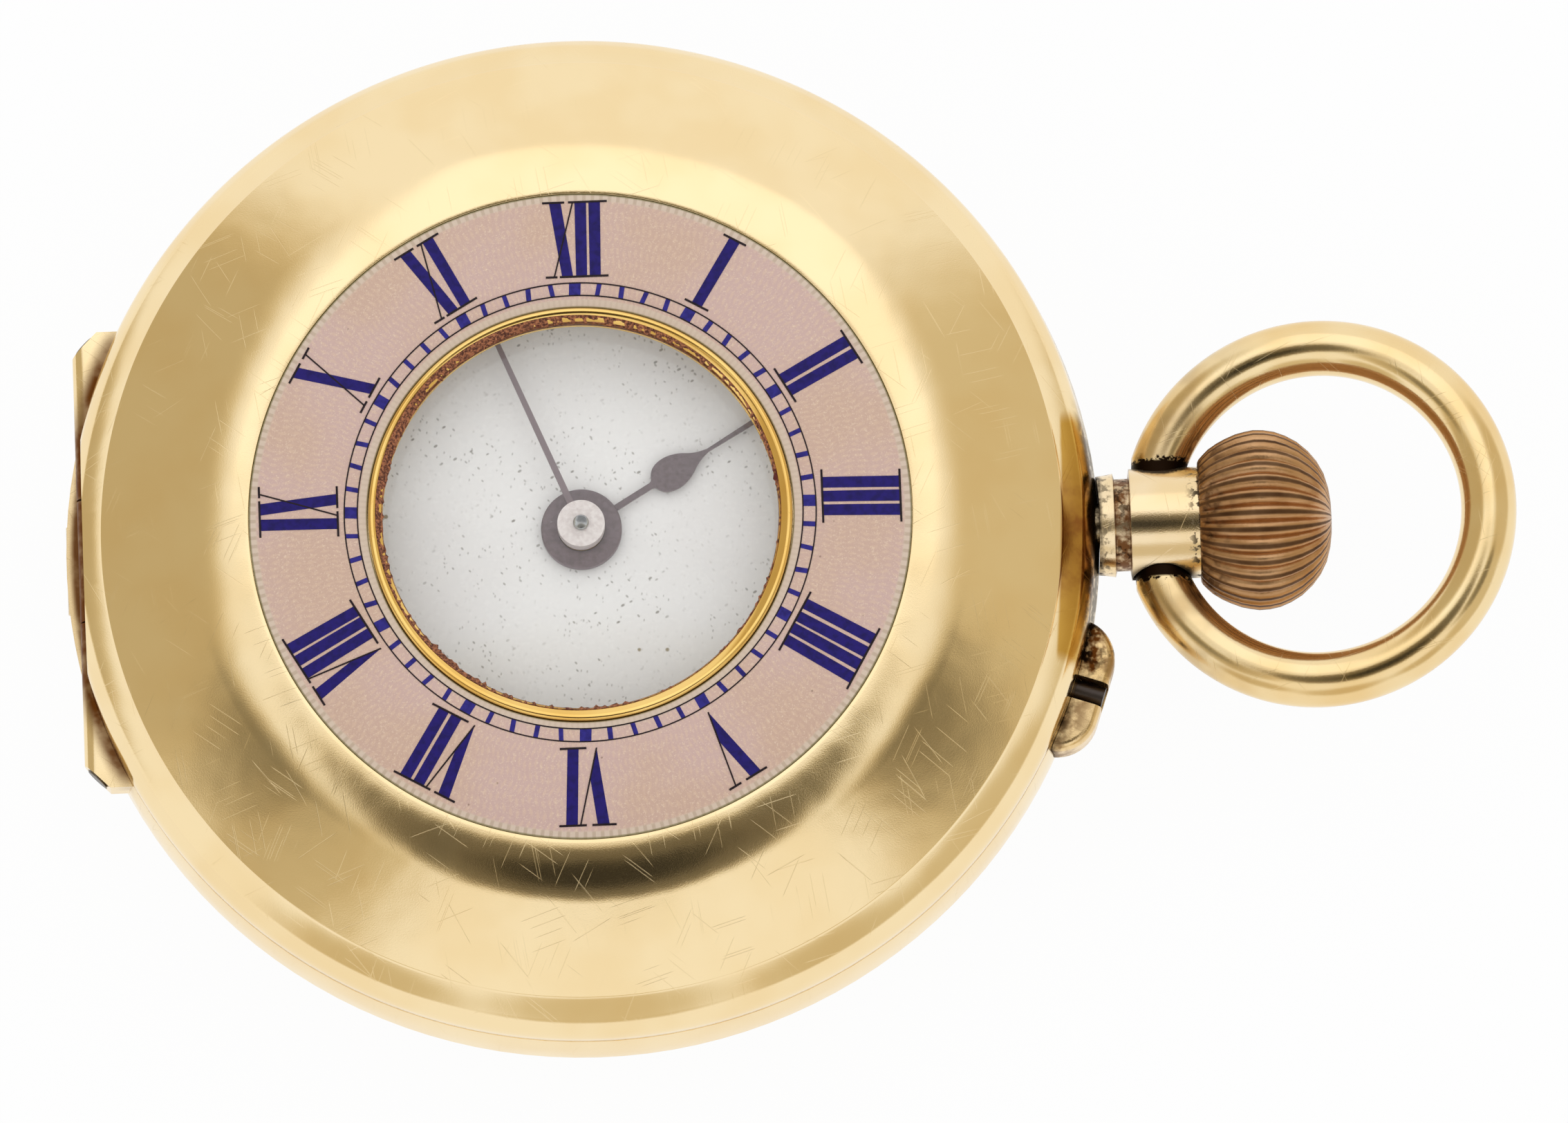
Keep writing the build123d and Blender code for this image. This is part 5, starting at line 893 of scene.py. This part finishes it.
ink = bmesh.new()
line_ink = bmesh.new()
wedge_width, wedge_waist = 0.4, 9.2
for hour, marks in enumerate(numerals):
    angle = hour * 30
    outer_marks, inner_marks = [], []
    for kind, high, low, *hair in marks:
        if kind == "wedge":
            top, share = hair[0], (wedge_waist - stroke_low) / (stroke_high - stroke_low)
            wedge = [(high, stroke_high), (high + wedge_width, stroke_high)]
            wedge += [(low + (top - low) * share, wedge_waist), (low, stroke_low)]
            painted(ink, wedge, angle)
            apex = low - hair_width / 2
            inner, outer = (apex, apex + hair_width), (top, top + hair_width)
            painted(line_ink, stroke(inner, outer, stroke_low, stroke_high), angle, 0.02)
            outer_marks += [(high, high + wedge_width), outer]
            continue
        thin = kind == "hair"
        inner = (low, low + (hair_width if thin else inner_width))
        outer = (high, high + (hair_width if thin else outer_width))
        corners = stroke(inner, outer, stroke_low, stroke_high)
        painted(line_ink if thin else ink, corners, angle, 0.02 if thin else 0.012)
        outer_marks.append(outer)
        inner_marks.append(inner)
    serifs(line_ink, outer_marks, stroke_high, 0.23, angle)
    serifs(line_ink, inner_marks, stroke_low, 0.26, angle)
ticks = bmesh.new()
for minute in range(60):
    fifth = minute % 5 == 0
    wide = 0.195 if fifth else 0.075 + random.random() * 0.012
    slant = 0.01 if fifth else random.uniform(-0.03, 0.03)
    angle = minute * 6 + 0.65 - 1.3 * math.sin(math.radians(minute * 6))
    start, end = (7.46, 7.94) if fifth else (7.49, 7.91)
    inner, outer = (-wide - slant, wide - slant), (slant - wide, slant + wide)
    painted(ticks, stroke(inner, outer, start, end, 2), angle, 0.01)
for piece_mesh, name, finish in (
    (ink, "numeral_strokes", blue_paint),
    (line_ink, "numeral_lines", brown_paint),
    (ticks, "minute_marks", tick_paint),
):
    piece = finished(piece_mesh, name, finish)
    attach(piece, "front_lid")
for radius, name in ((7.92, "outer_minute_circle"), (7.48, "inner_minute_circle")):
    height = enamel_height(radius)
    outline = [
        (radius - 0.022, height - 0.01, 0),
        (radius + 0.022, height - 0.01, 0),
        (radius + 0.022, height + 0.016, 0),
        (radius - 0.022, height + 0.016, 0),
    ]
    bm = turned(outline, 320)
    bmesh.ops.translate(bm, verts=bm.verts, vec=(0, painting_lift * mm, 0))
    circle = finished(bm, name, brown_paint)
    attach(circle, "front_lid")

# Back cover

dome, flat, rim, foot, wall, edge = 10.03, 9.9, 17.15, 3.1, 0.45, 4.17
sweep = math.degrees(math.asin((rim - flat) / dome))
outer_arc = arc((flat, dome), dome, -90, sweep - 90, 24)
outer_arc[-1] = (rim, foot, 0.4)
sweep = math.degrees(math.asin((rim - wall - flat) / (dome - wall)))
inner_arc = arc((flat, dome), dome - wall, -90, sweep - 90, 24)
back_outline = [(0, 0, 0)] + outer_arc + [(rim, edge, 0.06), (rim - wall, edge, 0.04)]
back_outline += inner_arc[::-1] + [(0, wall, 0)]
back = finished(turned(back_outline, 288, closed=False), "back_shell", gold_plain)
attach(back, "back")
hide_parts("back_cover")
back_web = {"web_middle": 4.15, "web_wide": 0.3, "web_high": 0.7}
bm = knuckle(radius=0.3, length=1.1, x=-17.15, z=4.55, soft=0.04, **back_web)
back_knuckle = finished(bm, "back_knuckle", gold_plain)
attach(back_knuckle, "back")

# Crown

crown_outline = [
    (20.88, 2.12),
    (21.03, 2.28),
    (21.21, 2.45),
    (21.50, 2.64),
    (21.78, 2.78),
    (22.15, 2.93),
    (22.45, 3.0),
    (22.75, 3.05),
    (23.1, 3.035),
    (23.46, 2.967),
    (23.83, 2.82),
    (24.21, 2.6),
    (24.58, 2.27),
    (24.86, 1.92),
    (25.08, 1.5),
    (25.22, 1.0),
    (25.28, 0.55),
    (25.30, 0.0),
]
bm = bmesh.new()
skirt = [(21.6, 0.5), (21.6, 1.9), (20.82, 1.9), (20.83, 2.02)]
corners = [bm.verts.new((x * mm, 0, (stem_height + r) * mm)) for x, r in skirt + crown_outline]
for one, other in zip(corners, corners[1:]):
    bm.edges.new((one, other))
bmesh.ops.spin(
    bm,
    geom=bm.verts[:] + bm.edges[:],
    cent=(0, 0, stem_height * mm),
    axis=(1, 0, 0),
    angle=math.tau,
    steps=384,
    use_merge=True,
)
bmesh.ops.remove_doubles(bm, verts=bm.verts, dist=1e-7)
flute_depth = 0.17
for vert in bm.verts:
    y, z = vert.co.y, vert.co.z - stem_height * mm
    radius = math.hypot(y, z)
    x = vert.co.x / mm
    if radius < 0.3 * mm or (x < 21.7 and radius < 2.0 * mm):
        continue
    turn = math.atan2(z, y)
    ridge = abs(math.cos(turn * flutes / 2 + math.pi / 4))
    fade = min(1, max(0, (x - 20.7) / 0.35)) * min(1, radius / mm / 1.4)
    depth = flute_depth * fade * (1 - ridge) ** 1.6 * mm
    share = 1 - depth / radius
    vert.co.y, vert.co.z = y * share, stem_height * mm + z * share
crown = finished(bm, "fluted_crown", crown_gold, 60)
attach(crown, "crown_and_stem")
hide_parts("crown")

# Bow

bow_wire, bow_ring, bow_offset, bow_tilt = 0.935, 5.745, 5.4, 6.0
gap = math.atan2(math.sqrt(bow_ring**2 - bow_offset**2), bow_offset)
bm = bmesh.new()
start = Vector((bow_offset - bow_ring * math.cos(gap), -bow_ring * math.sin(gap), 0))
turn_start = Matrix.Rotation(gap, 4, "Z")
section = bmesh.ops.create_circle(
    bm,
    cap_ends=False,
    segments=40,
    radius=bow_wire * mm,
    matrix=Matrix.Translation(start * mm) @ turn_start @ Matrix.Rotation(math.radians(90), 4, "X"),
)
loop = list({edge for vert in section["verts"] for edge in vert.link_edges})
bmesh.ops.spin(
    bm,
    geom=section["verts"] + loop,
    cent=(bow_offset * mm, 0, 0),
    axis=(0, 0, 1),
    angle=math.tau - 2 * gap,
    steps=160,
)
for side in (-1, 1):
    rim = [e for e in bm.edges if e.is_boundary and side * e.verts[0].co.y > 0]
    for reach, radius in ((1.15, bow_wire), (1.15, 0.5), (0.8, 0.5)):
        made = bmesh.ops.extrude_edge_only(bm, edges=rim)
        rim = [e for e in made["geom"] if isinstance(e, bmesh.types.BMEdge)]
        ring_verts = list({v for e in rim for v in e.verts})
        middle = sum((v.co for v in ring_verts), Vector()) / len(ring_verts)
        for vert in ring_verts:
            out = vert.co - middle
            flat = math.copysign(math.hypot(out.x, out.y), out.x)
            share = radius * mm / math.hypot(flat, out.z)
            vert.co = Vector((flat * share, side * reach * mm, out.z * share))
        rim = [e for e in bm.edges if e.is_boundary and side * e.verts[0].co.y > 0]
bmesh.ops.holes_fill(bm, edges=[e for e in bm.edges if e.is_boundary], sides=0)
place = Matrix.Translation(Vector((bow_pivot, 0, stem_height)) * mm)
tilt = Matrix.Rotation(math.radians(-bow_tilt), 4, "Y")
bmesh.ops.transform(bm, matrix=place @ tilt, verts=bm.verts)
bow = finished(bm, "bow_ring", gold_bow, 50)
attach(bow, "bow")
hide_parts("bow")

# Dial's glass and its bezel

bezel_outline = [
    (14.15, 7.53, 0),
    (14.7, 7.53, 0),
    (14.7, 6.96, 0),
    (15.85, 6.96, 0),
    (15.85, 6.3, 0),
    (16.2, 6.3, 0.05),
    (16.2, 6.95, 0.1),
    (15.0, 7.95, 0.15),
    (14.61, 7.95, 0.03),
    (14.61, 7.65, 0),
    (14.15, 7.65, 0.03),
]
inner_ring = finished(turned(bezel_outline, 288), "glass_bezel", gold_bright)
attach(inner_ring, "case")
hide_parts("inner_bezel")
glass_radius, glass_rise, glass_under, glass_over = 14.6, 1.2, 8.88, 9.10
curve = (glass_radius**2 + glass_rise**2) / (2 * glass_rise)
half = math.degrees(math.asin(glass_radius / curve))
under = arc((0, glass_under - curve), curve, 90 - half, 90, 20)
over = arc((0, glass_over - curve), curve, 90, 90 - half, 20)
dome = finished(turned(under + over, 200), "dial_dome", dial_clear)
dome.visible_shadow = dome.visible_diffuse = False
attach(dome, "case")
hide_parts("dial_glass")

# Hands


def hand_plate(bm, outline, low, high, angle):
    """A flat hand blade: half its outline, along and across, mirrored and laid at a clock angle."""
    both = outline + [(u, -v, soft) for u, v, soft in outline[::-1]]
    outward, across = clock(angle)
    height = Vector((0, 0, low))
    verts = [bm.verts.new((outward * u - across * v + height) * mm) for u, v, _ in both]
    bm.faces.new(verts)
    for vert, (_, _, soft) in zip(verts, both):
        if soft:
            rounded(bm, vert, soft, 8)
    raised(bm, max(bm.faces, key=lambda each: len(each.verts)), high - low)
    bmesh.ops.triangulate(bm, faces=[f for f in bm.faces if len(f.verts) > 4])


spade_outline = [
    (1.3, 0.10, 0),
    (2.86, 0.10, 0.1),
    (3.0, 0.41, 0.2),
    (3.45, 0.62, 0.3),
    (4.1, 0.50, 0.3),
    (4.58, 0.16, 0.25),
    (5.05, 0.05, 0),
    (7.35, 0.09, 0.1),
    (7.6, 0.40, 0.2),
    (8.0, 0.30, 0.3),
    (8.7, 0.06, 0.1),
    (8.9, 0.04, 0),
]
bm = bmesh.new()
hour_angle = 59.4
hand_plate(bm, spade_outline, 7.7, 7.83, hour_angle)
blade = finished(bm, "hour_blade", hand_grey)
boss_outline = [(0.8, 7.6, 0), (1.36, 7.6, 0), (1.36, 7.95, 0.06), (0.8, 7.95, 0)]
boss = finished(turned(boss_outline, 96), "hour_boss", hand_grey)
for piece in (blade, boss):
    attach(piece, "hour_wheel")
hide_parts("hour_hand")

dress(["minute_hand"], hand_silver)
pin_outline = [(0, 8.5, 0), (0.27, 8.5, 0), (0.27, 8.86, 0.06), (0, 8.88, 0)]
pin = finished(turned(pin_outline, 48, closed=False), "centre_pin", bright_steel)
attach(pin, "centre_arbor")

# Roman hours and a minute track on the dial under the glass

dial_surface = 7.503
track_inner, track_outer = 12.95, 13.4


def dial_mark(low, high, v_low, v_high, angle):
    """A painted mark from its edges at its inner and its outer end, at a clock angle."""
    outward, across = clock(angle)
    height = Vector((0, 0, dial_surface))
    corners = stroke(low, high, v_low, v_high, 1)
    verts = [dial_ink.verts.new((outward * v + across * u + height) * mm) for u, v in corners]
    raised(dial_ink, dial_ink.faces.new(verts), 0.012)


dial_ink = bmesh.new()
letters = {
    "I": (0.46, (((0.07, 0.39), (0.07, 0.39)),)),
    "X": (0.95, (((0.53, 0.87), (0.08, 0.42)), ((0.12, 0.18), (0.78, 0.84)))),
    "V": (1.0, (((0.38, 0.72), (0.08, 0.42)), ((0.55, 0.61), (0.86, 0.92)))),
}
words = ("XII", "I", "II", "III", "IIII", "V", "VI", "VII", "VIII", "IX", "X", "XI")
low, high = 9.6, 12.3
for hour, word in enumerate(words):
    angle = hour * 30
    total = sum(letters[letter][0] for letter in word)
    u = -total / 2
    for letter in word:
        wide, marks = letters[letter]
        for inner, outer in marks:
            dial_mark((u + inner[0], u + inner[1]), (u + outer[0], u + outer[1]), low, high, angle)
        u += wide
    ends = (-total / 2 - 0.06, total / 2 + 0.06)
    for v in (low, high):
        dial_mark(ends, ends, v - 0.04, v + 0.04, angle)
for minute in range(60):
    half = 0.13 if minute % 5 == 0 else 0.045
    dial_mark((-half, half), (-half, half), track_inner, track_outer, minute * 6)
hours = finished(dial_ink, "dial_hours", brown_paint)
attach(hours, "case")
for radius, name in ((track_outer, "dial_outer_circle"), (track_inner, "dial_inner_circle")):
    outline = [(radius - 0.02, dial_surface, 0), (radius + 0.02, dial_surface, 0)]
    outline += [(radius + 0.02, dial_surface + 0.014, 0), (radius - 0.02, dial_surface + 0.014, 0)]
    circle = finished(turned(outline, 240), name, brown_paint)
    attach(circle, "case")

# The CAD's own pieces keep their shape and get their finish

dress(["case_middle"], gold)
dress(["push_piece_guard"], gold_guard)
dress(["pendant"], gold_neck)
dress(["cuvette"], gold_plain)
dress(["front_hinge_pin"], grey_steel)
dress(["back_hinge_pin", "cuvette_hinge_pin", "push_pin"], dark_steel)
dress(["dial"], white_enamel)
dress(["main_plate", "barrel_bridge", "train_bridge"], gilding)
dress(["escape_cock", "pallet_cock", "balance_cock", "barrel"], gilding)
dress(["centre_wheel", "third_wheel", "fourth_wheel"], wheel_brass)
dress(["balance_wheel", "minute_wheel", "hour_wheel"], wheel_brass)
dress(["ratchet_wheel", "crown_wheel", "click", "regulator"], bright_steel)
dress(["bridge_screws", "winding_screws", "ratchet_screw", "case_screws"], bright_steel)
dress(["spring_screws", "winding_stem", "barrel_arbor", "escape_wheel"], bright_steel)
dress(["pallet_fork", "cannon_pinion", "winding_pinion", "castle_wheel"], bright_steel)
dress(["setting_wheel", "setting_lever"], bright_steel)
dress(["lift_spring", "lock_spring", "mainspring", "click_spring"], spring_steel)
dress(["hairspring"], blued_steel)
dress(["plate_jewels", "bridge_jewels"], ruby)

# Floor, light and camera


def white_floor():
    """Plain white that keeps a soft shadow, and open from below so that the back can be seen."""
    f = Finish("plain white floor")
    rays = f.node("ShaderNodeLightPath").socket.node.outputs
    seen = Value(f, rays["Is Camera Ray"])
    seen = seen.math("MAXIMUM", Value(f, rays["Is Glossy Ray"]))
    seen = seen.math("MAXIMUM", Value(f, rays["Is Transmission Ray"]))
    under = f.node("ShaderNodeNewGeometry", output="Backfacing")
    plain = f.node("ShaderNodeBsdfDiffuse", {}, {"Color": (0.82, 0.82, 0.82)})
    white = f.node("ShaderNodeEmission", {}, {"Color": (1.0, 1.0, 1.0), "Strength": 1.0})
    clear = f.node("ShaderNodeBsdfTransparent")
    mixed = f.node("ShaderNodeMixShader", {}, [seen * 0.95, plain, white])
    mixed = f.node("ShaderNodeMixShader", {}, [under, mixed, clear])
    f.node("ShaderNodeOutputMaterial", {}, [mixed])
    return f.material


bm = bmesh.new()
bmesh.ops.create_grid(bm, x_segments=1, y_segments=1, size=3.0)
bmesh.ops.translate(bm, verts=bm.verts, vec=(0, 0, -0.03 * mm))
floor = finished(bm, "floor", white_floor())
floor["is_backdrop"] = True

world = bpy.data.worlds.new("studio")
bpy.context.scene.world = world
world.use_nodes = True
sky = Finish("studio", world.node_tree)
direction = sky.node("ShaderNodeTexCoord", output="Generated")
rays = sky.node("ShaderNodeLightPath").socket.node.outputs


def spot(azimuth, elevation, inner, outer):
    """1 towards a direction, fading out between two angles."""
    a, e = math.radians(azimuth), math.radians(elevation)
    towards = (math.sin(a) * math.cos(e), -math.cos(a) * math.cos(e), math.sin(e))
    settings = {"operation": "DOT_PRODUCT"}
    dot = sky.node("ShaderNodeVectorMath", settings, [direction, towards], output=1)
    return dot.between(math.cos(math.radians(outer)), math.cos(math.radians(inner)))


# Darker patches that polished metal reflects: azimuth, elevation, inner and outer angle, depth
dark = spot(0, 76.5, 8, 11.5) * 0.97
for azimuth, up, inner, outer, depth in (
    (0, 78, 16, 22, 0.85),
    (74, 51, 4, 16, 0.78),
    (-74, 52, 4, 16, 0.75),
    (-60, 50, 8, 18, 0.42),
    (-112, 31, 25, 37, 0.44),
    (105, 32, 20, 36, 0.32),
    (0, 20, 8, 20, 0.3),
    (35, 22, 6, 18, 0.34),
    (-35, 22, 6, 18, 0.34),
    (64, 27, 14, 24, 0.32),
):
    dark = dark.math("MAXIMUM", spot(azimuth, up, inner, outer) * depth)
dark = dark * Value(sky, rays["Is Glossy Ray"])
tint = sky.mix(dark.between(0.0, 0.4), (1.0, 1.0, 1.0), (1.0, 0.87, 0.6))
bright = 1 - dark
shine = sky.node("ShaderNodeBackground", {}, {"Color": tint, "Strength": bright})
sky.node("ShaderNodeOutputWorld", {}, [shine])

lamp_data = bpy.data.lights.new("top_lamp", "AREA")
lamp_data.size, lamp_data.energy = 0.4, 0.12
lamp = bpy.data.objects.new("top_lamp", lamp_data)
lamp.location = (0.05, 0.3, 0.5)
lamp.rotation_mode = "QUATERNION"
lamp.rotation_quaternion = (-lamp.location).to_track_quat("-Z", "Y")
bpy.context.scene.collection.objects.link(lamp)

# The photo's camera, placed by the window ring's centre in the photo's pixels
elevation, roll = math.radians(76.5), math.radians(2.2)
right = Vector((1, 0, 0))
up = Vector((0, math.sin(elevation), math.cos(elevation)))
back_way = Vector((0, -math.cos(elevation), math.sin(elevation)))
level, upright = right, up
right = math.cos(roll) * level - math.sin(roll) * upright
up = math.sin(roll) * level + math.cos(roll) * upright
focal, sensor = 500.0, 36
photo_width, photo_height = 2268, 1624
pixels_per_mm = 43.1
ring_across, ring_down = 839.4, 744.2
distance = focal * photo_width / pixels_per_mm / sensor * mm
ring_centre = Vector((0, 0, 9.9)) * mm
aim = ring_centre + right * (photo_width / 2 - ring_across) / pixels_per_mm * mm
aim -= up * (photo_height / 2 - ring_down) / pixels_per_mm * mm
camera_data = bpy.data.cameras.new("camera")
camera_data.lens = focal
camera_data.sensor_width = sensor
camera_data.clip_start, camera_data.clip_end = 0.01, 20
camera = bpy.data.objects.new("camera", camera_data)
camera.rotation_mode = "QUATERNION"
camera.location = aim + back_way * distance
camera.rotation_quaternion = Matrix((right, up, back_way)).transposed().to_quaternion()
bpy.context.scene.collection.objects.link(camera)
bpy.context.scene.camera = camera
bpy.context.scene.view_settings.view_transform = "Standard"

low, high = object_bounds()
